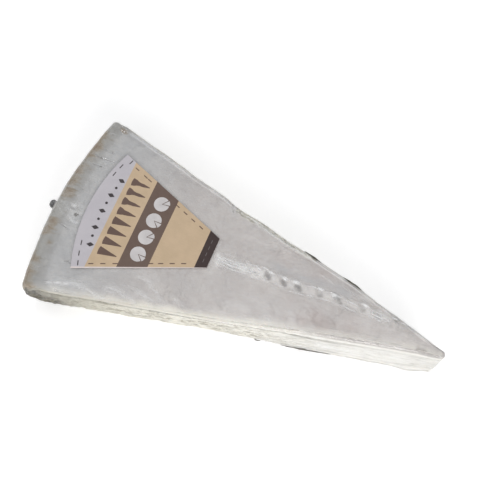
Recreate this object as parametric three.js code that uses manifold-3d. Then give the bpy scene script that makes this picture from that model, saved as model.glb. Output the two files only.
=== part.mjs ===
// A long pointed wedge of soft white-rind cheese in tight clear film, lying flat, with a paper label on its top.
// Millimetres, +Z up. +X runs from the rounded rim (heel) to the tip, -Y is the cut face on the right of somebody
// who looks from the heel to the tip. The origin is the middle of the underside of the whole part's box.
import * as THREE from 'three';
import { mergeVertices } from 'three/addons/utils/BufferGeometryUtils.js';
import Module from 'manifold-3d';

// ---------------------------------------------------------------- driving sizes
// the wheel that the wedge was cut from
const RIM_RADIUS = 185.3; // radius at the widest level of the rim
const THICKNESS = 23.0; // flat side to flat side
const RIM_DEPTH = 13.5; // how far the rounded rim draws in up to the flat side
const RIM_POWER = 2.3; // fullness of the rim's curve: 2 is an ellipse
const WIDEST_LEVEL = 0.47; // height of the rim's widest level, as a share of the thickness
const WHEEL_CENTRE_X = 90.0; // the wheel's centre in the working frame, close to the tip

// the two cuts
const TIP_CENTRE = [87.8, 0.7]; // middle of the blunt tip in plan
const TIP_RADIUS = 2.2;
const HEEL_STATION_X = -84.5; // station where the two half widths below are taken
const HALF_WIDTH_NEAR = 45.5; // from the tip's centre line to the -Y cut
const HALF_WIDTH_FAR = 43.7; // and to the +Y cut
const CORNER_RADIUS = { '-1': 4.2, 1: 1.6 }; // upright corners between the near and far cuts and the rim
const EDGE_ROUND_HEEL = 2.2; // rounding of the top and bottom edges of the cuts at the heel
const EDGE_ROUND_TIP = 1.2; // and at the tip
const CROWN = 0.55; // rise of the top between the cuts

// soft paste: how far the cuts lean and swell, outward positive
const NEAR_LEAN_HEEL = 0.8; // top of the -Y cut stands out near the heel
const NEAR_LEAN_TIP = -1.0; // and its foot stands out near the tip
const CUT_SWELL = 0.5; // swelling half-way up both cuts
// local swellings (+) and dents (-) of the +Y cut, where the film is drawn tight
const FAR_LUMPS = [
  { x: -68, width: 9, size: -0.35 },
  { x: -40, width: 9, size: -0.55 },
  { x: -15, width: 7, size: -1.3 },
  { x: 22, width: 12, size: 0.5 },
  { x: 44, width: 13, size: 1.3 },
];

// film seam folded flat along the top, and the shrunken knot where it ends on the rim
const SEAM_Y0 = 1.9; // y of the seam's middle line at x = 0
const SEAM_SLOPE = 0.05;
const SEAM_WIDTH = 4.8;
const SEAM_HEIGHT = 0.55;
const SEAM_PITCH = 7.4; // from pucker to pucker
const SEAM_START_X = -14.6;
const SEAM_END_X = 71.5;
const SEAM_HEEL_START_X = -79.6; // short stretch between label and rim
const KNOT_RADIUS = 1.75;
const KNOT_ANGLE = -0.012; // polar angle of the knot about the wheel's centre, radians
const KNOT_LEVEL = 0.1; // level on the rim, 0 widest and 1 top

// label: a truncated sector of paper
const LABEL_APEX = [0.5, 2.8];
const LABEL_TURN = 0.032; // turn of its middle line from the -X direction, radians
const LABEL_RADIUS = 78.3;
const LABEL_HALF_ANGLE = 0.383;
const LABEL_CUT = 18.2; // distance from the apex to the straight short end
const LABEL_GAP = 0.3; // from the film
const LABEL_THICKNESS = 0.3;

// fineness
const N_LONG = 56; // along each cut
const N_ACROSS = 20; // across the top and round the rim
const N_CORNER = 4; // in each upright corner
const N_LEVEL = 6; // from the widest level up, and as many down

// ---------------------------------------------------------------- helpers
const lerp = (a, b, f) => a + (b - a) * f;
const clamp01 = (v) => Math.min(1, Math.max(0, v));
const smooth = (v) => { const c = clamp01(v); return c * c * (3 - 2 * c); };
const bell = (x, { x: x0, width, size }) => size * Math.exp(-(((x - x0) / width) ** 2));

// ---------------------------------------------------------------- outline of one level
// level runs from -1 (foot) over 0 (widest) to 1 (top edge)
function cutProfile(level) {
  const a = Math.abs(level);
  const round = a < 0.5 ? 0 : 1 - Math.cos(((a - 0.5) / 0.5) * (Math.PI / 2)); // share of the edge rounding
  const mid = THICKNESS * WIDEST_LEVEL;
  const edge = EDGE_ROUND_HEEL;
  const rise = a < 0.5 ? (a / 0.5) : 1;
  const arc = a < 0.5 ? 0 : Math.sin(((a - 0.5) / 0.5) * (Math.PI / 2));
  const z = level >= 0
    ? mid + (THICKNESS - edge - mid) * rise + edge * arc
    : mid - (mid - edge) * rise - edge * arc;
  return { round, z };
}
function rimProfile(level) {
  const a = Math.abs(level) * (Math.PI / 2);
  const up = Math.pow(Math.sin(a), 2 / RIM_POWER);
  const draw = RIM_DEPTH * (1 - Math.pow(Math.max(0, Math.cos(a)), 2 / RIM_POWER));
  const mid = THICKNESS * WIDEST_LEVEL;
  return { radius: RIM_RADIUS - draw, z: level >= 0 ? mid + (THICKNESS - mid) * up : mid - mid * up };
}
function cutLine(halfWidth, round) {
  // straight line tangent to the tip's circle that has the wanted half width at the heel station
  const r = TIP_RADIUS - EDGE_ROUND_TIP * round;
  const w = halfWidth - EDGE_ROUND_HEEL * round;
  const l = TIP_CENTRE[0] - HEEL_STATION_X;
  const angle = Math.acos(r / Math.hypot(w, l)) - Math.atan2(l, w);
  return { r, angle, half: (x) => r / Math.cos(angle) + Math.tan(angle) * (TIP_CENTRE[0] - x) };
}
function swell(side, x, z) {
  const window = smooth((x - HEEL_STATION_X - 3) / 16) * smooth((TIP_CENTRE[0] - 1 - x) / 9);
  const up = z / THICKNESS;
  let s = CUT_SWELL * Math.sin(Math.PI * up);
  if (side < 0) s += lerp(NEAR_LEAN_HEEL, NEAR_LEAN_TIP, smooth((x + 10) / 50)) * (2 * up - 1);
  else s += FAR_LUMPS.reduce((t, lump) => t + bell(x, lump), 0) * (0.4 + 0.6 * Math.sin(Math.PI * clamp01(up * 0.8 + 0.1)));
  return s * window;
}
const cutY = (side, line, x, z) => TIP_CENTRE[1] + side * (line.half(x) + swell(side, x, z));

function levelOutline(level) {
  const cut = cutProfile(level);
  const rim = rimProfile(level);
  const lines = { '-1': cutLine(HALF_WIDTH_NEAR, cut.round), 1: cutLine(HALF_WIDTH_FAR, cut.round) };
  const sideOf = (side) => {
    const line = lines[side];
    // corner: where the cut meets the rim's circle
    let lo = WHEEL_CENTRE_X - rim.radius, hi = lo + 30;
    for (let k = 0; k < 50; k++) {
      const m = (lo + hi) / 2;
      const d = Math.hypot(m - WHEEL_CENTRE_X, cutY(side, line, m, cut.z)) - rim.radius;
      if (d > 0) lo = m; else hi = m;
    }
    const kx = (lo + hi) / 2, ky = cutY(side, line, kx, cut.z);
    const startX = kx + CORNER_RADIUS[side] * Math.cos(line.angle);
    const turn = CORNER_RADIUS[side] / rim.radius;
    const ka = Math.atan2(ky, WHEEL_CENTRE_X - kx) - side * turn;
    const b = [WHEEL_CENTRE_X - rim.radius * Math.cos(ka), rim.radius * Math.sin(ka)];
    const a = [startX, cutY(side, line, startX, cut.z)];
    const tipX = TIP_CENTRE[0] + line.r * Math.sin(line.angle);
    const along = [];
    for (let i = 0; i <= N_LONG; i++) {
      const x = lerp(startX, tipX, i / N_LONG);
      along.push([x, cutY(side, line, x, cut.z), cut.z]);
    }
    // rounded corner as a conic from the cut to the rim
    const corner = [];
    const w = Math.SQRT1_2;
    for (let i = 0; i <= N_CORNER; i++) {
      const f = i / N_CORNER, q0 = (1 - f) ** 2, q1 = 2 * w * f * (1 - f), q2 = f * f, q = q0 + q1 + q2;
      corner.push([(q0 * a[0] + q1 * kx + q2 * b[0]) / q, (q0 * a[1] + q1 * ky + q2 * b[1]) / q, lerp(cut.z, rim.z, smooth(f))]);
    }
    return { along, corner, ka, line };
  };
  const near = sideOf(-1), far = sideOf(1);
  const heel = near.corner.slice();
  const nArc = N_ACROSS - 2 * N_CORNER;
  for (let i = 1; i < nArc; i++) {
    const a = lerp(near.ka, far.ka, i / nArc);
    heel.push([WHEEL_CENTRE_X - rim.radius * Math.cos(a), rim.radius * Math.sin(a), rim.z]);
  }
  heel.push(...far.corner.slice().reverse());
  // share of the way round the heel, used for the tip and the top too
  const share = [0];
  for (let i = 1; i < heel.length; i++) share.push(share[i - 1] + Math.hypot(heel[i][0] - heel[i - 1][0], heel[i][1] - heel[i - 1][1]));
  for (let i = 0; i < share.length; i++) share[i] /= share[share.length - 1] || 1;
  const total = share[share.length - 1];
  for (let i = 0; i < share.length; i++) share[i] /= total;
  const t0 = -(Math.PI / 2 - near.line.angle), t1 = Math.PI / 2 - far.line.angle;
  const tip = share.map((s) => {
    const a = lerp(t0, t1, s);
    return [TIP_CENTRE[0] + near.line.r * Math.cos(a), TIP_CENTRE[1] + near.line.r * Math.sin(a), cut.z];
  });
  return { near: near.along, far: far.along, heel, tip, share };
}
// the closed loop of a level, anticlockwise from above, from the near heel corner
const loopOf = (o) => [
  ...o.near,
  ...o.tip.slice(1, -1),
  ...o.far.slice().reverse(),
  ...o.heel.slice().reverse().slice(1, -1),
];

// ---------------------------------------------------------------- top surface
const topCut = cutProfile(1);
const topNear = cutLine(HALF_WIDTH_NEAR, topCut.round);
const topFar = cutLine(HALF_WIDTH_FAR, topCut.round);
const topRadius = rimProfile(1).radius;
function topRise(x, y) {
  const y0 = cutY(-1, topNear, x, THICKNESS), y1 = cutY(1, topFar, x, THICKNESS);
  const across = clamp01((y - y0) / Math.max(0.5, y1 - y0));
  const inward = topRadius - Math.hypot(x - WHEEL_CENTRE_X, y);
  const arch = 4 * across * (1 - across);
  return CROWN * arch * smooth(inward / 20) * smooth((TIP_CENTRE[0] - x) / 30)
    + 0.12 * Math.sin(x / 11.3 + 0.7) * Math.sin(y / 7.9 + 0.4) * smooth(arch * 2) * smooth(inward / 12);
}

// ---------------------------------------------------------------- mesh building
function geometryFrom(points, triangles) {
  const g = new THREE.BufferGeometry();
  g.setAttribute('position', new THREE.Float32BufferAttribute(points.flat(), 3));
  g.setIndex(triangles);
  return g;
}
function wedgeGeometry() {
  const points = [], triangles = [];
  const add = (p) => points.push(p) - 1;
  const levels = [];
  for (let k = -N_LEVEL; k <= N_LEVEL; k++) levels.push(levelOutline(k / N_LEVEL));
  const loops = levels.map((o) => loopOf(o).map(add));
  const n = loops[0].length;
  for (let k = 0; k + 1 < loops.length; k++) {
    for (let i = 0; i < n; i++) {
      const j = (i + 1) % n;
      const a = loops[k][i], b = loops[k][j], c = loops[k + 1][j], d = loops[k + 1][i];
      triangles.push(a, b, c, a, c, d);
    }
  }
  // where the loop's points stand on the edge of the top's grid
  const grid = (loop) => {
    const at = Array.from({ length: N_LONG + 1 }, () => new Array(N_ACROSS + 1));
    let p = 0;
    for (let i = 0; i <= N_LONG; i++) at[i][0] = loop[p++];
    for (let j = 1; j < N_ACROSS; j++) at[N_LONG][j] = loop[p++];
    for (let i = N_LONG; i >= 0; i--) at[i][N_ACROSS] = loop[p++];
    for (let j = N_ACROSS - 1; j >= 1; j--) at[0][j] = loop[p++];
    return at;
  };
  // top: a patch blended between its four edges, raised by the crown
  const o = levels[levels.length - 1];
  const top = grid(loops[loops.length - 1]);
  for (let i = 1; i < N_LONG; i++) {
    const u = i / N_LONG;
    for (let j = 1; j < N_ACROSS; j++) {
      const v = o.share[j];
      const p = [0, 1].map((c) => lerp(o.near[i][c], o.far[i][c], v) + lerp(o.heel[j][c], o.tip[j][c], u)
        - lerp(lerp(o.near[0][c], o.far[0][c], v), lerp(o.near[N_LONG][c], o.far[N_LONG][c], v), u));
      top[i][j] = add([p[0], p[1], THICKNESS + topRise(p[0], p[1])]);
    }
  }
  for (let i = 0; i < N_LONG; i++) {
    for (let j = 0; j < N_ACROSS; j++) {
      triangles.push(top[i][j], top[i + 1][j], top[i + 1][j + 1], top[i][j], top[i + 1][j + 1], top[i][j + 1]);
    }
  }
  // underside: flat, one strip of long facets from cut to cut, a fan at each end
  const foot = grid(loops[0]);
  for (let i = 0; i < N_LONG; i++) {
    triangles.push(foot[i][0], foot[i + 1][N_ACROSS], foot[i + 1][0], foot[i][0], foot[i][N_ACROSS], foot[i + 1][N_ACROSS]);
  }
  for (let j = 1; j < N_ACROSS; j++) {
    triangles.push(foot[0][0], foot[0][j], foot[0][j + 1]);
    triangles.push(foot[N_LONG][0], foot[N_LONG][j + 1], foot[N_LONG][j]);
  }
  return geometryFrom(points, triangles);
}

// a low ribbon that lies on a path, with its underside sunk into the wedge
function ribbonGeometry(stations) {
  // station: middle point, unit vector across, unit vector out, half width, height, sink
  const shape = [[-1, -1], [-1, 0.05], [-0.72, 0.8], [0, 1], [0.72, 0.8], [1, 0.05], [1, -1]];
  const points = [], triangles = [];
  for (const s of stations) {
    for (const [a, h] of shape) {
      const out = h < 0 ? -s.sink : h * s.height;
      points.push([0, 1, 2].map((c) => s.mid[c] + s.across[c] * a * s.half + s.out[c] * out));
    }
  }
  const m = shape.length;
  for (let k = 0; k + 1 < stations.length; k++) {
    for (let i = 0; i < m; i++) {
      const j = (i + 1) % m;
      triangles.push(k * m + i, (k + 1) * m + j, k * m + j, k * m + i, (k + 1) * m + i, (k + 1) * m + j);
    }
  }
  const last = (stations.length - 1) * m;
  for (let i = 1; i + 1 < m; i++) triangles.push(0, i, i + 1, last, last + i + 1, last + i);
  return geometryFrom(points, triangles);
}
function topSeam() {
  const stations = [];
  const count = 48;
  for (let k = 0; k <= count; k++) {
    const x = lerp(SEAM_START_X, SEAM_END_X, k / count);
    const y = SEAM_Y0 + SEAM_SLOPE * x;
    const pucker = 0.5 + 0.5 * Math.cos((2 * Math.PI * (x - SEAM_START_X)) / SEAM_PITCH);
    const ends = smooth((x - SEAM_START_X + 0.6) / 4) * smooth((SEAM_END_X + 1.5 - x) / 8);
    const n = Math.hypot(1, SEAM_SLOPE);
    stations.push({
      mid: [x, y, THICKNESS + topRise(x, y)],
      across: [-SEAM_SLOPE / n, 1 / n, 0],
      out: [0, 0, 1],
      half: (SEAM_WIDTH / 2) * (1 - 0.16 * pucker) * lerp(0.55, 1, ends),
      height: SEAM_HEIGHT * (1 - 0.45 * pucker) * lerp(0.25, 1, ends),
      sink: 0.9,
    });
  }
  return ribbonGeometry(stations);
}
function rimSeam() {
  // from the label's round end over the rim to the knot, along a line of constant polar angle
  const stations = [];
  const inner = WHEEL_CENTRE_X - SEAM_HEEL_START_X;
  const path = [];
  for (let k = 0; k <= 4; k++) path.push([lerp(inner, topRadius, k / 4), THICKNESS]);
  for (let k = 9; k >= 2; k--) {
    const p = rimProfile(k / 10);
    path.push([p.radius, p.z]);
  }
  path.forEach(([r, z], k) => {
    const before = path[Math.max(0, k - 1)], after = path[Math.min(path.length - 1, k + 1)];
    const dr = after[0] - before[0], dz = after[1] - before[1], d = Math.hypot(dr, dz);
    const a = lerp(-0.021, KNOT_ANGLE, k / (path.length - 1));
    const ca = Math.cos(a), sa = Math.sin(a);
    const onTop = r <= topRadius;
    const x = WHEEL_CENTRE_X - r * ca, y = r * sa;
    stations.push({
      mid: [x, y, z + (onTop ? topRise(x, y) : 0)],
      across: [-sa, -ca, 0],
      out: [(dz / d) * ca, -(dz / d) * sa, dr / d],
      half: 1.9 * lerp(1.1, 0.75, k / (path.length - 1)),
      height: 0.42 * (0.75 + 0.25 * Math.cos(k * 2.2)),
      sink: 1.1,
    });
  });
  return ribbonGeometry(stations);
}
function knotGeometry() {
  const g = new THREE.SphereGeometry(KNOT_RADIUS, 14, 9);
  const p = g.attributes.position;
  for (let i = 0; i < p.count; i++) {
    const x = p.getX(i), y = p.getY(i), z = p.getZ(i);
    const f = 1 + 0.07 * Math.sin(2.1 * x + 1) * Math.cos(1.9 * y) + 0.06 * Math.sin(2.4 * z);
    p.setXYZ(i, x * f * 1.12, y * f, z * f * 0.94);
  }
  const rim = rimProfile(KNOT_LEVEL);
  const r = rim.radius + 1.0;
  g.translate(WHEEL_CENTRE_X - r * Math.cos(KNOT_ANGLE), r * Math.sin(KNOT_ANGLE), rim.z);
  return g;
}

function labelGeometry() {
  const nl = 15, na = 14;
  const points = [], triangles = [];
  const index = [[], []];
  for (let face = 0; face < 2; face++) {
    for (let i = 0; i <= nl; i++) {
      index[face].push([]);
      for (let j = 0; j <= na; j++) {
        const a = lerp(-LABEL_HALF_ANGLE, LABEL_HALF_ANGLE, j / na);
        const r = lerp(LABEL_CUT / Math.cos(a), LABEL_RADIUS, i / nl);
        const x = LABEL_APEX[0] - r * Math.cos(a + LABEL_TURN);
        const y = LABEL_APEX[1] - r * Math.sin(a + LABEL_TURN);
        const z = THICKNESS + topRise(x, y) + LABEL_GAP + face * LABEL_THICKNESS;
        index[face][i].push(points.push([x, y, z]) - 1);
      }
    }
  }
  const quad = (a, b, c, d) => triangles.push(a, c, b, a, d, c);
  for (let i = 0; i < nl; i++) {
    for (let j = 0; j < na; j++) {
      const [f, t] = index;
      quad(t[i][j], t[i][j + 1], t[i + 1][j + 1], t[i + 1][j]);
      quad(f[i][j], f[i + 1][j], f[i + 1][j + 1], f[i][j + 1]);
    }
  }
  const [f, t] = index;
  for (let i = 0; i < nl; i++) {
    quad(f[i][0], t[i][0], t[i + 1][0], f[i + 1][0]);
    quad(f[i + 1][na], t[i + 1][na], t[i][na], f[i][na]);
  }
  for (let j = 0; j < na; j++) {
    quad(f[0][j + 1], t[0][j + 1], t[0][j], f[0][j]);
    quad(f[nl][j], t[nl][j], t[nl][j + 1], f[nl][j + 1]);
  }
  return geometryFrom(points, triangles);
}

// ---------------------------------------------------------------- joining
const wasm = await Module();
wasm.setup();
function toSolid(geometry) {
  const g = geometry.clone();
  g.deleteAttribute('normal');
  g.deleteAttribute('uv');
  const m = mergeVertices(g, 1e-4);
  return new wasm.Manifold(new wasm.Mesh({
    numProp: 3,
    vertProperties: new Float32Array(m.attributes.position.array),
    triVerts: new Uint32Array(m.index.array),
  }));
}
function toGeometry(solid) {
  const m = solid.getMesh();
  const pts = new Float32Array((m.vertProperties.length / m.numProp) * 3);
  for (let i = 0; i < pts.length / 3; i++) for (let c = 0; c < 3; c++) pts[i * 3 + c] = m.vertProperties[i * m.numProp + c];
  const g = new THREE.BufferGeometry();
  g.setAttribute('position', new THREE.BufferAttribute(pts, 3));
  g.setIndex(new THREE.BufferAttribute(new Uint32Array(m.triVerts), 1));
  return g;
}
const wrapped = toGeometry(
  toSolid(wedgeGeometry()).add(toSolid(topSeam())).add(toSolid(rimSeam())).add(toSolid(knotGeometry())),
);
const label = labelGeometry();

// ---------------------------------------------------------------- the part
const box = new THREE.Box3().setFromBufferAttribute(wrapped.attributes.position);
box.union(new THREE.Box3().setFromBufferAttribute(label.attributes.position));
const shift = [-(box.min.x + box.max.x) / 2, -(box.min.y + box.max.y) / 2, -box.min.z];
wrapped.translate(...shift);
label.translate(...shift);

const part = new THREE.Group();
const wedgeMesh = new THREE.Mesh(wrapped, new THREE.MeshStandardMaterial({ color: 0xc9c5c0, roughness: 0.42, metalness: 0 }));
wedgeMesh.name = 'wrapped_wedge';
const labelMesh = new THREE.Mesh(label, new THREE.MeshStandardMaterial({ color: 0xbfa98f, roughness: 0.6, metalness: 0 }));
labelMesh.name = 'paper_label';
part.add(wedgeMesh, labelMesh);
export default part;
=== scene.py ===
import math

import bpy
import numpy as np
from mathutils import Matrix, Vector


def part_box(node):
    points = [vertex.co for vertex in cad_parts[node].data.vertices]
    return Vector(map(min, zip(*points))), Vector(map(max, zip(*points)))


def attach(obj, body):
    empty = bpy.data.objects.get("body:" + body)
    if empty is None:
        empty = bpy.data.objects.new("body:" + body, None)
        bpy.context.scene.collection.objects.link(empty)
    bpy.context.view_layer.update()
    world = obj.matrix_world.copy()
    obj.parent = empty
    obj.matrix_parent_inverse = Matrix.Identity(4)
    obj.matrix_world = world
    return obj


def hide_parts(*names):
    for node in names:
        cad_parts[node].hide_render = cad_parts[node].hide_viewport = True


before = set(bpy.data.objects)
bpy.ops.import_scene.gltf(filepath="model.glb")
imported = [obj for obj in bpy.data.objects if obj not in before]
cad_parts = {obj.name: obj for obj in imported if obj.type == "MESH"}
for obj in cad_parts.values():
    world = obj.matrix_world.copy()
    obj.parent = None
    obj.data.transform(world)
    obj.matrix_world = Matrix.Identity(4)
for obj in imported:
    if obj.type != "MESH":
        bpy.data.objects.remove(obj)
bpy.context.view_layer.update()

MM = 0.001
scene = bpy.context.scene

# ---------------------------------------------------------------- named sizes, mm, in the working frame of the wedge
RIM_RADIUS, THICKNESS, RIM_DEPTH, RIM_POWER, WIDEST = 185.3, 23.0, 13.5, 2.3, 0.47
CENTRE_X = 90.0
TIP_X, TIP_Y, TIP_R = 87.8, 0.7, 2.2
HEEL_X, HALF_NEAR, HALF_FAR = -84.5, 45.5, 43.7
CORNER_NEAR, CORNER_FAR, EDGE_HEEL, EDGE_TIP = 4.2, 1.6, 2.2, 1.2
CROWN = 0.55
NEAR_LEAN_HEEL, NEAR_LEAN_TIP, CUT_SWELL = 0.8, -1.0, 0.5
FAR_LUMPS = ((-68, 9, -0.35), (-40, 9, -0.55), (-15, 7, -1.3), (24, 11, 1.0), (44, 13, 1.9), (66, 9, 0.8))
SEAM_Y0, SEAM_SLOPE = 1.9, 0.05
KNOT_R, KNOT_ANGLE = 1.75, -0.012
LABEL_X, LABEL_Y, LABEL_TURN, LABEL_R, LABEL_HALF, LABEL_CUT = 0.5, 2.8, 0.032, 78.3, 0.383, 18.2

# the working frame's place in the row frame: the tip's end and the widest point of the far cut are on the CAD box
wedge_lo, wedge_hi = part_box("wrapped_wedge")
SHIFT_X = wedge_hi.x / MM - (TIP_X + TIP_R)

N_LONG, N_ACROSS, N_CORNER, N_LEVEL = 292, 150, 14, 24
MID = THICKNESS * WIDEST


# ---------------------------------------------------------------- small maths
def lerp(a, b, f):
    return a + (b - a) * f


def smooth(v):
    c = np.clip(v, 0, 1)
    return c * c * (3 - 2 * c)


def bell(x, x0, w):
    return np.exp(-(((x - x0) / w) ** 2))


def lattice(ix, iy, iz, seed):
    with np.errstate(over="ignore"):
        h = (
            ix.astype(np.int64).astype(np.uint32) * np.uint32(374761393)
            + iy.astype(np.int64).astype(np.uint32) * np.uint32(668265263)
            + iz.astype(np.int64).astype(np.uint32) * np.uint32(2246822519)
            + np.uint32(seed) * np.uint32(3266489917)
        )
        h = (h ^ (h >> np.uint32(13))) * np.uint32(1274126177)
        h = h ^ (h >> np.uint32(16))
        h = (h ^ (h >> np.uint32(15))) * np.uint32(2246822507)
        h = h ^ (h >> np.uint32(13))
    return h.astype(np.float64) / 2147483647.5 - 1.0


def noise(x, y, z=0.0, seed=1):
    """Smooth value noise, -1 to 1."""
    x, y, z = np.broadcast_arrays(np.asarray(x, float), np.asarray(y, float), np.asarray(z, float))
    x0, y0, z0 = np.floor(x), np.floor(y), np.floor(z)
    fx, fy, fz = x - x0, y - y0, z - z0
    fx, fy, fz = (f * f * f * (f * (f * 6 - 15) + 10) for f in (fx, fy, fz))
    out = 0
    for dz in (0, 1):
        wz = fz if dz else 1 - fz
        for dy in (0, 1):
            wy = fy if dy else 1 - fy
            for dx in (0, 1):
                wx = fx if dx else 1 - fx
                out = out + wx * wy * wz * lattice(x0 + dx, y0 + dy, z0 + dz, seed)
    return out


def fbm(x, y, z=0.0, seed=1, octaves=3, gain=0.5):
    total, size, f = 0.0, 0.0, 1.0
    for k in range(octaves):
        a = gain**k
        total = total + a * noise(np.asarray(x) * f, np.asarray(y) * f, np.asarray(z) * f, seed + 17 * k)
        size += a
        f *= 2.03
    return total / size


def ridge(n, sharp=2.0):
    """Thin crests where a noise passes through nought."""
    return np.clip(1 - np.abs(n) * 2.2, 0, 1) ** sharp


# ---------------------------------------------------------------- the wedge's form
def by_length(curve, steps=600):
    f = np.linspace(0, 1, steps)
    p = np.stack(curve(f), -1)
    d = np.concatenate([[0], np.cumsum(np.hypot(*np.diff(p, axis=0).T))])
    return lambda t: (np.interp(t * d[-1], d, p[:, 0]), np.interp(t * d[-1], d, p[:, 1])), d[-1]


def rim_quarter(height):
    def curve(f):
        a = f * math.pi / 2
        up = np.sin(a) ** (2 / RIM_POWER)
        draw = RIM_DEPTH * (1 - np.clip(np.cos(a), 0, 1) ** (2 / RIM_POWER))
        return draw, height * up
    return by_length(curve)


def cut_quarter(height):
    """Share of the edge rounding used up, and the height above the widest level."""
    straight = height - EDGE_HEEL
    share = straight / (straight + EDGE_HEEL * math.pi / 2)

    def at(t):
        a = np.clip((t - share) / (1 - share), 0, 1) * math.pi / 2
        return (1 - np.cos(a)), straight * np.clip(t / share, 0, 1) + EDGE_HEEL * np.sin(a)
    return at


rim_up, RIM_UP_LEN = rim_quarter(THICKNESS - MID)
rim_down, RIM_DOWN_LEN = rim_quarter(MID)
cut_up, cut_down = cut_quarter(THICKNESS - MID), cut_quarter(MID)


def rim_profile(t):
    draw, h = (rim_up if t >= 0 else rim_down)(abs(t))
    return RIM_RADIUS - float(draw), MID + float(h) * (1 if t >= 0 else -1)


def cut_profile(t):
    rnd, h = (cut_up if t >= 0 else cut_down)(abs(t))
    return float(rnd), MID + float(h) * (1 if t >= 0 else -1)


def cut_line(half, rnd):
    r, w, l = TIP_R - EDGE_TIP * rnd, half - EDGE_HEEL * rnd, TIP_X - HEEL_X
    return r, math.acos(r / math.hypot(w, l)) - math.atan2(l, w)


def swell(side, x, z):
    window = smooth((x - HEEL_X - 3) / 16) * smooth((TIP_X - 1 - x) / 9)
    up = z / THICKNESS
    s = CUT_SWELL * np.sin(math.pi * up)
    if side < 0:
        s = s + lerp(NEAR_LEAN_HEEL, NEAR_LEAN_TIP, smooth((x + 10) / 50)) * (2 * up - 1)
    else:
        lumps = sum(size * bell(x, x0, w) for x0, w, size in FAR_LUMPS)
        s = s + lumps * (0.4 + 0.6 * np.sin(math.pi * np.clip(up * 0.8 + 0.1, 0, 1)))
    return s * window


def cut_y(side, line, x, z):
    r, a = line
    return TIP_Y + side * (r / math.cos(a) + math.tan(a) * (TIP_X - x) + swell(side, x, z))


def outline(t):
    """One level of the wall: its near cut, far cut, rim and tip as rows of x, y, z."""
    rnd, zc = cut_profile(t)
    radius, zr = rim_profile(t)
    sides = {}
    for side, half, corner_r in ((-1, HALF_NEAR, CORNER_NEAR), (1, HALF_FAR, CORNER_FAR)):
        line = cut_line(half, rnd)
        lo, hi = CENTRE_X - radius, CENTRE_X - radius + 30
        for _ in range(50):
            m = (lo + hi) / 2
            if math.hypot(m - CENTRE_X, float(cut_y(side, line, m, zc))) > radius:
                lo = m
            else:
                hi = m
        kx = (lo + hi) / 2
        ky = float(cut_y(side, line, kx, zc))
        sx = kx + corner_r * math.cos(line[1])
        ka = math.atan2(ky, CENTRE_X - kx) - side * corner_r / radius
        b = (CENTRE_X - radius * math.cos(ka), radius * math.sin(ka))
        a = (sx, float(cut_y(side, line, sx, zc)))
        xs = np.linspace(sx, TIP_X + line[0] * math.sin(line[1]), N_LONG + 1)
        along = np.stack([xs, cut_y(side, line, xs, zc), np.full_like(xs, zc)], -1)
        f = np.linspace(0, 1, N_CORNER + 1)
        q0, q1, q2 = (1 - f) ** 2, 2 * math.sqrt(0.5) * f * (1 - f), f * f
        q = q0 + q1 + q2
        corner = np.stack(
            [(q0 * a[0] + q1 * kx + q2 * b[0]) / q, (q0 * a[1] + q1 * ky + q2 * b[1]) / q, lerp(zc, zr, smooth(f))], -1
        )
        sides[side] = along, corner, ka, line
    near, far = sides[-1], sides[1]
    a = np.linspace(near[2], far[2], N_ACROSS - 2 * N_CORNER + 1)[1:-1]
    arc = np.stack([CENTRE_X - radius * np.cos(a), radius * np.sin(a), np.full_like(a, zr)], -1)
    heel = np.concatenate([near[1], arc, far[1][::-1]])
    share = np.concatenate([[0], np.cumsum(np.hypot(*np.diff(heel[:, :2], axis=0).T))])
    share /= share[-1]
    r, t0, t1 = near[3][0], -(math.pi / 2 - near[3][1]), math.pi / 2 - far[3][1]
    ta = lerp(t0, t1, share)
    tip = np.stack([TIP_X + r * np.cos(ta), TIP_Y + r * np.sin(ta), np.full_like(ta, zc)], -1)
    return near[0], far[0], heel, tip, share


TOP_NEAR, TOP_FAR = cut_line(HALF_NEAR, 1.0), cut_line(HALF_FAR, 1.0)
TOP_RADIUS = RIM_RADIUS - RIM_DEPTH


def top_rise(x, y):
    y0, y1 = cut_y(-1, TOP_NEAR, x, THICKNESS), cut_y(1, TOP_FAR, x, THICKNESS)
    across = np.clip((y - y0) / np.maximum(0.5, y1 - y0), 0, 1)
    inward = TOP_RADIUS - np.hypot(x - CENTRE_X, y)
    arch = 4 * across * (1 - across)
    return CROWN * arch * smooth(inward / 20) * smooth((TIP_X - x) / 30) + 0.12 * np.sin(x / 11.3 + 0.7) * np.sin(
        y / 7.9 + 0.4
    ) * smooth(arch * 2) * smooth(inward / 12)


def roll_off(x, y, z):
    """How far the soft upper edges sink below the flat top, mm."""
    y0, y1 = cut_y(-1, TOP_NEAR, x, THICKNESS), cut_y(1, TOP_FAR, x, THICKNESS)
    near = (0.30 + 0.50 * smooth((x + 25) / 60)) * np.exp(-((np.maximum(y - y0, 0) / (3.0 + 1.3 * smooth((x + 10) / 60))) ** 2))
    far = 0.34 * np.exp(-((np.maximum(y1 - y, 0) / 2.6) ** 2))
    ends = smooth((TIP_X - x) / 12) * smooth((x + 86) / 12)
    return (near + far) * ends * smooth((z - (THICKNESS - 5)) / 5)


def film_top(x, y):
    return THICKNESS + top_rise(x, y) - roll_off(x, y, THICKNESS)


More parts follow.
